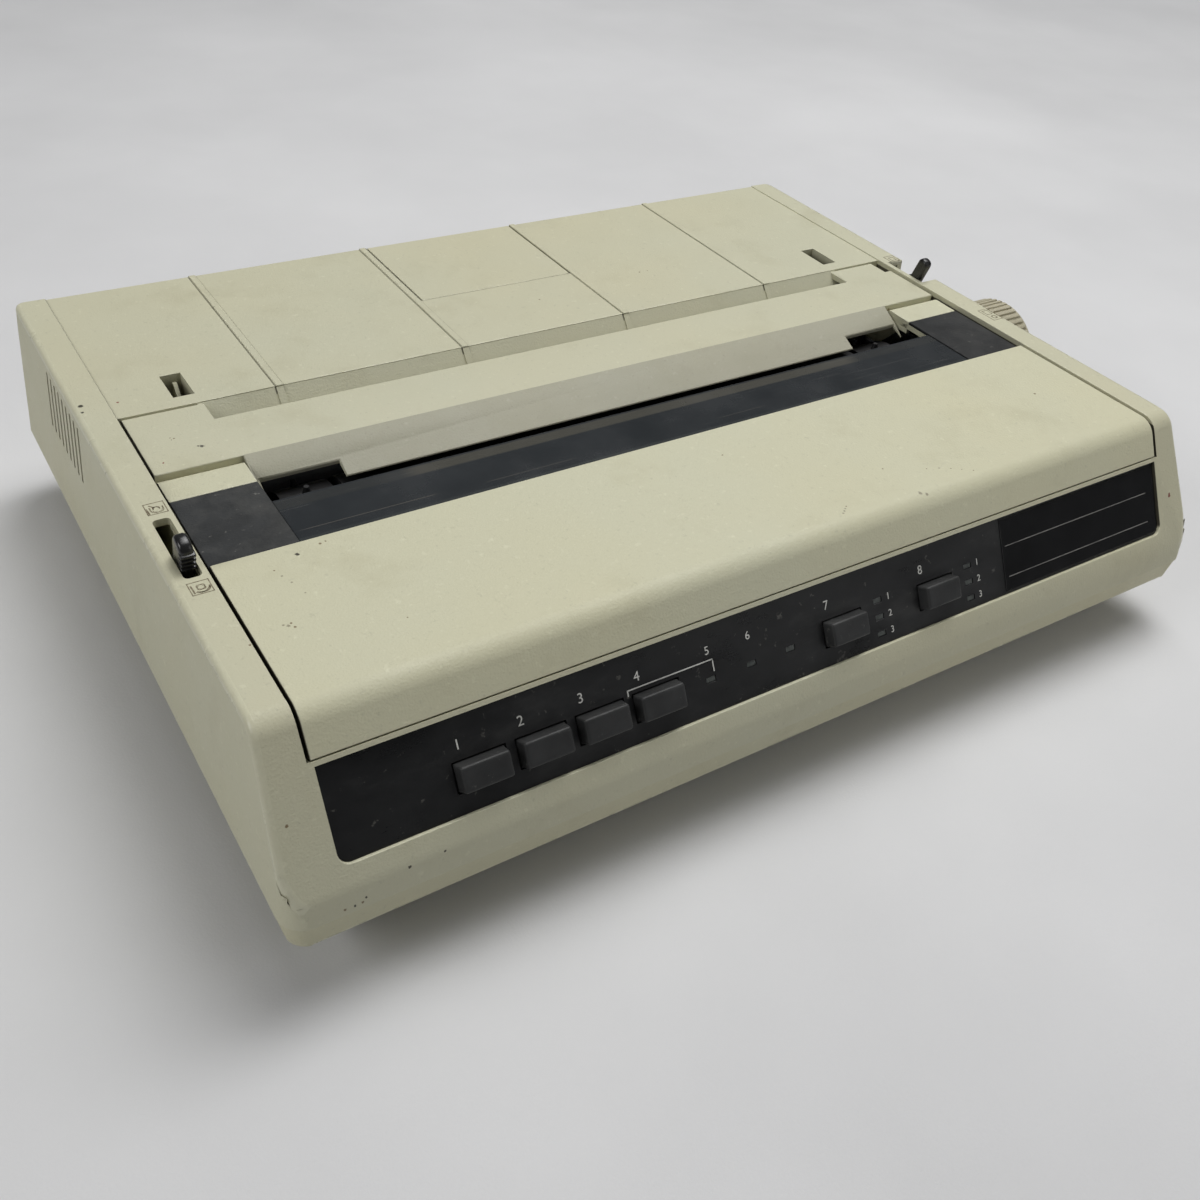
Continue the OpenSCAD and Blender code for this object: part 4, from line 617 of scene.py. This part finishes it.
# ---- Cover window. A strip of smoked acrylic between the two end pieces. Its rear edge turns
# down and is brown with ribbon dust; rubbing paper has drawn long hairlines on it, and three
# bright lines along a step near its front are painted highlights.
smoked = Finish("smoked_acrylic", gloss=0.5)
smoked.shader.inputs["Transmission Weight"].default_value = 0.35
smoked.shader.inputs["IOR"].default_value = 1.49
film = smoked.patches((0.033, 0.038, 0.042), (0.046, 0.052, 0.057), 0.35, 0.7, 18.0, 5.0)
rim = smoked.span(smoked.band("X", -0.104, 0.086, 0.003), 0.0, 1.0, 0.18, 0.85)
rim = smoked.times(smoked.band("Y", -0.0275, -0.0229, 0.0003), rim)
film = smoked.tint(film, (0.115, 0.11, 0.09), rim)
# Painted highlight: three bright lines where light glints along a step in the window. A row is
# x from and to, y, and how much each shows.
for left, right, at, share in ((-0.145, -0.102, -0.0398, 0.6), (-0.084, -0.052, -0.0405, 0.4),
                               (0.01, 0.03, -0.0395, 0.3)):
    across = smoked.band("Y", at - 0.00016, at + 0.00016, 0.00008)
    glint_line = smoked.times(smoked.band("X", left, right, 0.002), across)
    film = smoked.tint(film, (0.19, 0.175, 0.15), smoked.times(glint_line, share))
front_edge = smoked.times(smoked.band("Y", -0.0472, -0.0436, 0.0002), 0.8)
film = smoked.tint(film, (0.062, 0.070, 0.070), front_edge)
drawn = smoked.stretched((0.35, 16.0, 1.0))
film = smoked.dab(film, (0.20, 0.20, 0.19), 0.66, 0.71, 0.35, 60.0, 4.0, 0.6, drawn)
film = smoked.dab(film, (0.25, 0.25, 0.24), 0.60, 0.8, 0.14, 90.0, 9.0, 0.75)
smoked.colour(film)
smoked.sheen(0.16, 0.34, 0.3, 0.75, 42.0, 6.0)
smoked.relief(smoked.cloud(30.0, 2.0), 0.0002, 0.25)
window = rounded_copy("cover_window", "smoked_window", fine_edges(0.3, above=70))
fit(window, "cover", "smoke", (smoked,), "cover_window")


# ---- Operator panel. A black plate let into the sloped front, satin from its fine grain, with
# finger smudges, hairline scratches and dust along its lower edge.
slope_up = Vector((0, math.cos(slope_angle), math.sin(slope_angle)))
slope_out = Vector((0, -math.sin(slope_angle), math.cos(slope_angle)))
on_panel = Matrix((Vector((1, 0, 0)), slope_up, slope_out)).transposed().to_4x4()
on_panel.translation = (case_mid / 1000, slope_y / 1000, slope_z / 1000)

satin = Finish("satin_black_panel", gloss=0.45)
ink = satin.patches((0.0085, 0.0088, 0.0092), (0.014, 0.0145, 0.0148), 0.4, 0.7, 30.0, 5.0)
smear = satin.cloud(26.0, 9.0, 0.72, satin.stretched((1.0, 2.6, 2.6), (0, 0, 0.3)))
ink = satin.tint(ink, (0.045, 0.045, 0.042), satin.times(satin.span(smear, 0.52, 0.72), 0.45))
scuffed = satin.stretched((0.7, 9.0, 4.0), (0.3, 0.2, 0.7))
ink = satin.dab(ink, (0.16, 0.155, 0.14), 0.685, 0.72, 0.45, 38.0, 12.0, 0.85, scuffed)
ink = satin.dab(ink, (0.14, 0.135, 0.12), 0.66, 0.72, 0.5, 300.0, 3.0, 0.6)
satin.colour(ink)
satin.rough(satin.span(smear, 0.35, 0.75, 0.26, 0.50))
satin.relief(satin.cloud(1700.0, 2.0), 0.00004, 0.5)
panel = rounded_copy("operator_panel", "control_panel", fine_edges(0.15, above=30, least=3.0))
fit(panel, "case", "panel", (satin,), "operator_panel")


# ---- Name plate. A glossy black film on the right end of the panel. It is bare but for two fine
# grey rules, printed where such a plate divides its lines.
gloss_film = Finish("gloss_black_film", gloss=0.5)
film = gloss_film.patches((0.0075, 0.0077, 0.008), (0.012, 0.012, 0.013), 0.4, 0.7, 26.0, 4.0)
scuffed = gloss_film.stretched((0.8, 8.0, 5.0), (0.2, 0.6, 0.2))
film = gloss_film.dab(film, (0.22, 0.21, 0.19), 0.69, 0.72, 0.5, 42.0, 12.0, 0.85, scuffed)
gloss_film.colour(film)
gloss_film.sheen(0.10, 0.24, 0.3, 0.75, 60.0, 6.0, 0.7)
gloss_film.relief(gloss_film.cloud(45.0, 3.0), 0.00006, 0.4)
plate = rounded_copy("name_plate", "bare_plate", fine_edges(0.1, above=30))
fit(plate, "case", "plate", (gloss_film,), "name_plate")


def bars(name, strips, level):
    """Printed strips on the panel: each is x from, x to, distance down from, distance down to."""
    thick = 0.04
    parts = []
    for x0, x1, s0, s1 in strips:
        parts.append(block_of((x1 - x0, s1 - s0, thick)))
        bpy.ops.mesh.bevel(offset=thick * 0.00025, segments=1, affect="EDGES")
        bpy.ops.mesh.select_all(action="SELECT")
        bpy.ops.transform.translate(value=((x0 + x1) / 2000, -(s0 + s1) / 2000, level / 1000))
        bpy.ops.object.mode_set(mode="OBJECT")
    whole = joined(parts, name)
    whole.data.transform(on_panel)
    return whole


rule_ink = Finish("grey_rule_ink", gloss=0.3)
rule_ink.colour(rule_ink.patches((0.27, 0.26, 0.24), (0.13, 0.125, 0.12), 0.45, 0.65,
                                 140.0, 6.0, 0.7))
rule_ink.sheen(0.4, 0.6, 0.3, 0.7, 120.0)
plate_face = -0.9
rules = bars("plate_rules", [(84.0, 161.0, 10.65, 10.95), (84.5, 161.0, 21.75, 22.05)], plate_face)
fit(rules, "case", "plate", (rule_ink,))


# ---- Panel print. A white bracket joins the fourth button to its lamp, plain numbers stand over
# the buttons and beside the lamps, all screen-printed on the black.
print_ink = Finish("screen_ink", gloss=0.3)
print_ink.colour(print_ink.patches((0.66, 0.66, 0.62), (0.42, 0.42, 0.39), 0.5, 0.7,
                                   260.0, 5.0, 0.7))
print_ink.sheen(0.45, 0.6, 0.3, 0.7, 120.0)
panel_face = -1.2
bracket = bars("select_bracket", [(-74.2, -43.2, 11.1, 11.5), (-74.2, -73.8, 11.1, 13.0),
                                  (-43.6, -43.2, 11.1, 15.2)], panel_face)
fit(bracket, "case", "panel", (print_ink,))

# Each number is its x, its distance down the panel, the figure and its height.
over_keys = [(-129.2, 9.6, "1", 3.0), (-109.8, 9.6, "2", 3.0), (-90.4, 9.6, "3", 3.0),
             (-71.2, 9.4, "4", 3.0), (-45.8, 9.4, "5", 2.6), (-30.3, 9.4, "6", 2.6),
             (1.2, 9.4, "7", 3.0), (42.6, 9.4, "8", 3.0)]
beside_lamps = [(x, s, figure, 2.3) for x in (27.6, 69.2)
                for s, figure in ((13.6, "1"), (19.3, "2"), (25.0, "3"))]
text_size, ink_thick = 0.00142, 0.00002
figures = []
for x, s, figure, height in over_keys + beside_lamps:
    bpy.ops.object.text_add(location=(0, 0, 0))
    letter = bpy.context.object
    letter.data.body = figure
    letter.data.size = height * text_size
    letter.data.extrude = ink_thick
    alone(letter)
    bpy.ops.object.convert(target="MESH")
    letter = bpy.context.object
    at = Matrix.Translation((x / 1000, -s / 1000, panel_face / 1000 + ink_thick))
    letter.data.transform(at)
    letter.data.transform(on_panel)
    figures.append(letter)
fit(joined(figures, "panel_numbers"), "case", "panel", (print_ink,))


# ---- Lamp windows. Nine small grey-green lenses of clear styrene, dull because no lamp behind
# them is lit, each moulded with a fine lens grain and set just under the panel's face.
lens_clear = Finish("unlit_lens", gloss=0.55)
lens_clear.shader.inputs["Transmission Weight"].default_value = 0.25
lens_clear.colour(lens_clear.patches((0.115, 0.128, 0.118), (0.065, 0.073, 0.068), 0.4, 0.65,
                                     400.0))
lens_clear.sheen(0.25, 0.4, 0.3, 0.7, 300.0)
lens_clear.relief(lens_clear.cells(1600.0), 0.00005, 0.6)
lenses = rounded_copy("led_lenses", "lamp_lenses", fine_edges(0.18, least=1.5))
fit(lenses, "case", "lens", (lens_clear,), "led_lenses")


# ---- Buttons. Six black keycaps of matt rubbery plastic: a drafted block with soft edges on a
# flange that stops behind the panel. One is modelled, the rest are its copies.
def picked_edges(piece, wanted):
    """Selects a piece's edges by their ends in millimetres. It starts and ends in edit mode."""
    bpy.ops.mesh.select_all(action="DESELECT")
    bpy.ops.object.mode_set(mode="OBJECT")
    for edge in piece.data.edges:
        edge.select = wanted(*(piece.data.vertices[i].co * 1000 for i in edge.vertices))
    bpy.ops.object.mode_set(mode="EDIT")
    bpy.ops.mesh.select_mode(type="EDGE")


def cap_edge(a, b):
    rim = abs(a.z - cap_top) < 0.01 and abs(b.z - cap_top) < 0.01
    upright = abs(a.x - b.x) < 0.6 and abs(a.y - b.y) < 0.6
    return rim or (upright and max(a.z, b.z) > cap_top - 0.01 and min(a.z, b.z) < 0)


key_black = dyed_black("keycap_black", (0.019, 0.0195, 0.0195), rough=0.50, gloss=0.40,
                       dust=0.08, specks=0.12)
cap_w, cap_l, cap_top, cap_foot, cap_foot_high = 15.6, 8.2, 3.0, -4.2, 3.5
flange, flange_high = 1.4, 1.0
key = block_of((cap_w + 2 * flange, cap_l + 2 * flange, flange_high))
bpy.ops.transform.translate(value=(0, 0, (cap_foot + flange_high / 2) / 1000))
bpy.ops.mesh.select_all(action="DESELECT")
bpy.ops.object.mode_set(mode="OBJECT")
for face in key.data.polygons:
    face.select = face.normal.z > 0.9
bpy.ops.object.mode_set(mode="EDIT")
bpy.ops.mesh.select_mode(type="FACE")
bpy.ops.mesh.inset(thickness=flange / 1000, depth=0)
for rise in (cap_foot_high - flange_high, cap_top - cap_foot - cap_foot_high):
    bpy.ops.mesh.extrude_region_move(TRANSFORM_OT_translate={"value": (0, 0, rise / 1000)})
bpy.ops.transform.resize(value=(0.965, 0.93, 1.0))
bpy.ops.mesh.inset(thickness=0.0016, depth=0)
bpy.ops.transform.translate(value=(0, 0, -0.00012))
picked_edges(key, cap_edge)
bpy.ops.mesh.bevel(offset=0.0008, segments=4, affect="EDGES", clamp_overlap=True)
bpy.ops.object.mode_set(mode="OBJECT")
bpy.ops.object.shade_smooth_by_angle(angle=math.radians(35))
key_xs, key_s = (-122.7, -103.3, -83.9, -64.5, 8.1, 49.7), 17.3
for index, x in enumerate(key_xs, start=1):
    cap = bpy.data.objects.new(f"keycap_{index}", key.data.copy())
    bpy.context.scene.collection.objects.link(cap)
    cap.data.transform(on_panel @ Matrix.Translation((x / 1000, -key_s / 1000, 0)))
    fit(cap, f"key_{index}", "key", (key_black,), f"button_{index}")
bpy.data.objects.remove(key)


# ---- Lever signs. Beside each lever slot two small signs are moulded into the strip, a sheet on
# its roller and a sheet let go; brown dirt has settled in the lines of the left ones, and on the
# raised lines of the right ones the brown is painted shade. The strokes are thin ridges.
dirt_and_shade_line = Finish("dirt_and_shade_in_lines", gloss=0.3)
dirt_and_shade_line.colour(dirt_and_shade_line.patches((0.17, 0.135, 0.085), (0.33, 0.30, 0.21), 0.42, 0.62,
                                   700.0, 4.0, 0.7))
dirt_and_shade_line.sheen(0.55, 0.75, 0.3, 0.7, 300.0)


def stroke(x0, y0, x1, y1, wide=0.28):
    length, heading = math.hypot(x1 - x0, y1 - y0), math.atan2(y1 - y0, x1 - x0)
    line = block_of((length + wide, wide, 0.1))
    bpy.ops.transform.rotate(value=heading, orient_axis="Z", center_override=(0, 0, 0))
    bpy.ops.transform.translate(value=((x0 + x1) / 2000, (y0 + y1) / 2000, strip_top / 1000))
    bpy.ops.object.mode_set(mode="OBJECT")
    return line


def box_strokes(x, y, wide, deep):
    west, east, south, north = x - wide / 2, x + wide / 2, y - deep / 2, y + deep / 2
    corners = [(west, south), (east, south), (east, north), (west, north)]
    return [stroke(*a, *b) for a, b in zip(corners, corners[1:] + corners[:1])]


def arc_strokes(x, y, radius, start, end, wide=0.28, steps=14):
    turns = [math.radians(start + (end - start) * k / steps) for k in range(steps + 1)]
    spots = [(x + radius * math.cos(a), y + radius * math.sin(a)) for a in turns]
    return [stroke(*a, *b, wide) for a, b in zip(spots, spots[1:])]


signs = {
    "bail_sign_rear": box_strokes(-181.2, -14.5, 5.8, 5.8)
    + arc_strokes(-181.05, -14.75, 0.95, -20, 200) + arc_strokes(-181.0, -14.8, 1.95, 150, 385)
    + [stroke(-183.6, -14.2, -183.8, -17.0, 0.45), stroke(-181.6, -12.7, -182.6, -14.0, 0.4)],
    "bail_sign_front": box_strokes(-181.5, -55.95, 5.9, 5.6)
    + arc_strokes(-181.3, -55.8, 1.15, 0, 360) + arc_strokes(-181.3, -55.8, 2.35, 225, 355, 0.4)
    + [stroke(-183.65, -54.6, -183.8, -58.0, 0.45)],
    "release_sign_rear": box_strokes(165.8, 38.2, 5.3, 5.3) + box_strokes(165.9, 38.0, 2.6, 2.6),
    "release_sign_front": box_strokes(166.5, -22.1, 5.3, 9.3) + box_strokes(166.5, -20.2, 2.8, 3.2)
    + arc_strokes(166.5, -24.4, 1.1, 0, 360)}
# The release signs at the right take the same brown as painted shade.
for name, strokes in signs.items():
    fit(joined(strokes, name), "case", "shell", (dirt_and_shade_line,))


# ---- Levers. The bail lever at the left and the release lever at the right are glossy black
# mouldings whose grips come up through the side strips; they turn on studs inside. The bail
# lever's grip has four ribs across its front, the other is a plain paddle.
lever_black = dyed_black("lever_black", (0.0125, 0.0125, 0.013), rough=0.24, gloss=0.5,
                         dust=0.10, grain=0.00002)
lean, pivot_z = math.radians(18), 62.0
grip_thick, grip_high, grip_reach = 3.8, 13.0, 28.2


def lever_with_grip(node, name, body, middle, deep, pivot_y, soft, ribs):
    """The lever's stem, cut off under its grip, and a fuller rounded grip grown on it."""
    pivot = Vector((middle, pivot_y / 1000, pivot_z / 1000))
    along = Vector((0, -math.sin(lean), math.cos(lean)))
    cut = pivot + along * (grip_reach - grip_high + 1.5) / 1000
    stem = rounded_copy(node, name, fine_edges(0.0))
    alone(stem)
    bpy.ops.object.mode_set(mode="EDIT")
    bpy.ops.mesh.select_all(action="SELECT")
    bpy.ops.mesh.bisect(plane_co=cut, plane_no=along, clear_outer=True, use_fill=True)
    bpy.ops.object.mode_set(mode="OBJECT")
    grip = block_of((grip_thick + 0.3, deep, grip_high))
    bpy.ops.transform.translate(value=(0, 0, (grip_reach - grip_high / 2) / 1000))
    picked_edges(grip, lambda a, b: abs(a.y - b.y) < 0.1 and abs(a.z - b.z) < 0.1
                 and a.z > grip_reach - 1)
    bpy.ops.mesh.bevel(offset=deep * 0.00044, segments=8, affect="EDGES")
    picked_edges(grip, lambda a, b: abs(a.x - b.x) < 0.1
                 and max(a.z, b.z) > grip_reach - grip_high + 0.1)
    bpy.ops.mesh.bevel(offset=soft / 1000, segments=4, affect="EDGES")
    bpy.ops.object.mode_set(mode="OBJECT")
    parts = [stem, grip]
    for step in range(ribs):
        parts.append(block_of((grip_thick + 0.6, 2.6, 0.95)))
        bpy.ops.mesh.bevel(offset=0.00036, segments=3, affect="EDGES")
        bpy.ops.transform.translate(value=(0, -0.0033, (19.7 + 1.9 * step) / 1000))
        bpy.ops.object.mode_set(mode="OBJECT")
    for part in parts[1:]:
        alone(part)
        bpy.ops.object.shade_smooth_by_angle(angle=math.radians(40))
        part.data.transform(Matrix.Translation(pivot) @ Matrix.Rotation(lean, 4, "X"))
    fit(joined(parts, name), body, "lever", (lever_black,), node)


bail_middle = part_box("bail_lever")[0][0] + 0.0003 + grip_thick / 2000
release_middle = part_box("release_lever")[1][0] - grip_thick / 2000
lever_with_grip("bail_lever", "bail_grip", "bail_handle", bail_middle, 8.2, -36, 1.3, 4)
lever_with_grip("release_lever", "release_grip", "release_handle", release_middle, 5.2, 25, 1.2, 0)


# ---- Platen knob. A hollow beige moulding with forty-eight grip ribs, pressed on the platen's
# shaft outside the right wall; its rim is dirtier than the case from years of hands.
knob_plastic = aged_styrene("handled_knob", (0.43, 0.405, 0.30), (0.44, 0.40, 0.28))
knob_edges = aged_styrene("handled_knob_rubbed", (0.47, 0.445, 0.34), (0.48, 0.44, 0.32),
                          rubbed=True)
hand_knob = rounded_copy("platen_knob", "hand_knob", fine_edges(0.3, least=1.2), segments=2)
fit(hand_knob, "feed", "knob", (knob_plastic, knob_edges), "platen_knob")


# ---- Platen and rollers. Black rubber ground true on its steel shaft, polished in the middle by
# print wires; the bail and pressure rollers are the same rubber, and the feet a softer one. The
# shafts are ground steel, the gears natural nylon and the motor pinions turned brass.
def rubber(name, colour, rough):
    it = Finish(name, gloss=0.35)
    body = it.patches(colour, tuple(c * 1.6 + 0.004 for c in colour), 0.4, 0.75, 55.0, 5.0)
    it.colour(it.dab(body, (0.16, 0.155, 0.15), 0.56, 0.8, 0.30, 70.0, 8.0, 0.7))
    it.sheen(rough - 0.1, rough + 0.1, 0.3, 0.7, 80.0, 4.0)
    it.relief(it.cloud(900.0, 3.0, 0.6, it.stretched((4.0, 1.0, 1.0))), 0.00005, 0.5)
    return it


def metal(name, colour, rough=0.3, along=(1.0, 60.0, 60.0), tarnish=(0.20, 0.17, 0.13)):
    """Bare or plated metal: draw lines from its making, and dull tarnish in patches."""
    it = Finish(name, metal=1.0)
    lines = it.cloud(35.0, 6.0, 0.7, it.stretched(along))
    body = it.tint(colour, tuple(c * 0.8 for c in colour), it.span(lines, 0.35, 0.7))
    it.colour(it.dab(body, tarnish, 0.58, 0.78, 0.45, 48.0, 7.0, 0.7))
    it.rough(it.span(lines, 0.3, 0.7, rough - 0.08, rough + 0.14))
    it.relief(lines, 0.00003, 0.35)
    return it


def nylon(name, colour):
    it = Finish(name, gloss=0.45)
    it.shader.inputs["Subsurface Weight"].default_value = 0.12
    it.shader.inputs["Subsurface Radius"].default_value = (0.002, 0.0016, 0.001)
    body = it.patches(colour, tuple(c * 0.86 for c in colour), 0.35, 0.7, 60.0, 5.0)
    it.colour(it.dab(body, (0.13, 0.10, 0.07), 0.58, 0.75, 0.35, 120.0, 7.0, 0.7))
    it.sheen(0.32, 0.46, 0.3, 0.7, 140.0)
    it.relief(it.cloud(700.0), 0.00004, 0.35)
    return it


def dress(finish, slot, *nodes):
    """Lays a finish on nodes whose own shape is right."""
    for name in nodes:
        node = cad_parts[name]
        for place in node.material_slots:
            place.material = finish.made
        if not node.material_slots:
            node.data.materials.append(finish.made)


platen_rubber = rubber("ground_platen_rubber", (0.008, 0.008, 0.0085), 0.42)
dress(platen_rubber, "roller", "platen", "bail_rollers", "pressure_rollers")
dress(rubber("soft_foot_rubber", (0.018, 0.018, 0.0185), 0.72), "foot", "feet")
wheel_black = dyed_black("pin_wheel_black", (0.008, 0.008, 0.0085), rough=0.36, dust=0.03)
dress(wheel_black, "wheel", "pin_wheels")
ground_steel = metal("ground_steel", (0.52, 0.52, 0.52), rough=0.22)
dress(ground_steel, "steel", "platen_shaft", "paper_bail", "guide_shaft")
gear_nylon = nylon("natural_nylon", (0.62, 0.59, 0.47))
dress(gear_nylon, "nylon", "platen_gear", "idler_gear", "rack", "platen_bushings", "ribbon_knob")
turned_brass = metal("turned_brass", (0.62, 0.45, 0.20), rough=0.28, tarnish=(0.25, 0.16, 0.07))
dress(turned_brass, "brass", "feed_pinion", "space_pinion")


# ---- Frames and paper path. Zinc-plated sheet steel, cut and folded: dull blue-grey with a
# spangle, fingerprints and a breath of white rust. The paper chute is the same sheet, painted matt
# black as shade, so that the slot down to it reads dark.
zinc = Finish("zinc_plated_sheet", metal=1.0)
spangle = zinc.span(zinc.cells(260.0), 0.2, 0.8)
coat = zinc.tint((0.40, 0.41, 0.43), (0.31, 0.32, 0.335), spangle)
zinc.colour(zinc.dab(coat, (0.46, 0.45, 0.43), 0.56, 0.76, 0.5, 50.0, 8.0, 0.7))
zinc.sheen(0.34, 0.56, 0.3, 0.7, 75.0, 5.0)
zinc.relief(zinc.cloud(180.0, 3.0), 0.00004, 0.4)
dress(zinc, "sheet", "side_frame_left", "side_frame_right", "roller_cradle", "front_rail",
      "parallel_connector")
# Painted shade: the chute is coloured black so that the slot it lies in reads dark.
chute_shade_black = dyed_black("shade_black_sheet", (0.012, 0.012, 0.0125), rough=0.55, gloss=0.3,
                     dust=0.05)
dress(chute_shade_black, "sheet", "paper_chute")
screw_zinc = metal("zinc_screws", (0.50, 0.50, 0.49), rough=0.34, along=(30.0, 30.0, 2.0))
dress(screw_zinc, "screw", "case_screws", "frame_screws")


# ---- Motors. Black-painted steel cans with a pressed front plate; the paint has a slight orange
# peel and is rubbed where the can was clamped.
can_paint = Finish("can_paint", gloss=0.5)
coat = can_paint.patches((0.020, 0.021, 0.022), (0.034, 0.035, 0.036), 0.4, 0.7, 60.0, 5.0)
can_paint.colour(can_paint.dab(coat, (0.20, 0.20, 0.20), 0.66, 0.72, 0.6, 110.0, 9.0, 0.75))
can_paint.sheen(0.28, 0.44, 0.3, 0.7, 90.0)
can_paint.relief(can_paint.cloud(520.0, 2.0), 0.00006, 0.5)
dress(can_paint, "motor", "feed_motor", "space_motor")


# ---- Carriage. A glass-filled black moulding with fibres showing in its skin; the print head on
# it is a finned die casting, and the ribbon cartridge a smooth black box.
carrier_black = dyed_black("glass_filled_black", (0.030, 0.031, 0.033), rough=0.55, dust=0.18,
                           specks=0.25)
dress(carrier_black, "carrier", "carriage")
casting = metal("head_casting", (0.24, 0.25, 0.26), rough=0.46, along=(12.0, 12.0, 12.0),
                tarnish=(0.10, 0.09, 0.08))
dress(casting, "head", "print_head")
cartridge_black = dyed_black("cartridge_black", (0.016, 0.016, 0.018), rough=0.34, dust=0.20)
cartridge = rounded_copy("ribbon_cartridge", "ribbon_box", fine_edges(0.5, above=60, least=6.0))
fit(cartridge, "head_carriage", "cartridge", (cartridge_black,), "ribbon_cartridge")


# ---- Boards. Green glass laminate with tinned tracks under the lacquer, and a brown paper one
# for the power parts; the chips on them are matt black. The transformer's core is stacked iron.
def laminate(name, colour, track, top=None):
    """A board's lacquer, tracks and tinned pads. What stands over top is black like its chips."""
    it = Finish(name, gloss=0.5)
    lanes = it.cells(210.0, "DISTANCE_TO_EDGE", it.stretched((0.35, 1.0, 1.0)))
    body = it.tint(colour, track, it.times(it.span(lanes, 0.10, 0.06), 0.8))
    body = it.tint(body, (0.42, 0.42, 0.40), it.span(it.cells(420.0), 0.16, 0.12))
    if top:
        chips = it.patches((0.014, 0.014, 0.015), (0.03, 0.03, 0.032), 0.4, 0.7, 200.0)
        body = it.tint(body, chips, it.span(it.where("Z"), top, top + 0.0001))
    it.colour(body)
    it.sheen(0.30, 0.50, 0.3, 0.7, 90.0)
    it.relief(lanes, 0.00003, 0.5)
    return it


green, green_track, board_top = (0.022, 0.075, 0.034), (0.045, 0.13, 0.055), 0.0178
dress(laminate("green_laminate", green, green_track, board_top), "board", "control_board")
dress(laminate("green_laminate_front", green, green_track), "board", "panel_board")
brown_board = laminate("brown_laminate", (0.13, 0.075, 0.035), (0.25, 0.16, 0.08), board_top)
dress(brown_board, "board_brown", "power_board")
core = metal("laminated_core", (0.17, 0.17, 0.175), rough=0.5, along=(2.0, 2.0, 160.0))
dress(core, "iron", "transformer")


# ---- Rear fittings. The mains inlet and the switch are black mouldings held in the shell, and
# the rocker tips between two stops.
def inlet_rounds(at, n1, n2, length):
    return 0.3 if at.y > 130 and length > 3 else 0.0


socket_black = dyed_black("socket_black", (0.015, 0.015, 0.016), rough=0.36, dust=0.15)
inlet = rounded_copy("ac_inlet", "mains_inlet", inlet_rounds)
fit(inlet, "case", "socket", (socket_black,), "ac_inlet")
dress(socket_black, "socket", "power_switch")
rocker = rounded_copy("power_rocker", "rocker_key", fine_edges(0.4, least=3.0))
fit(rocker, "rocker", "key", (key_black,), "power_rocker")
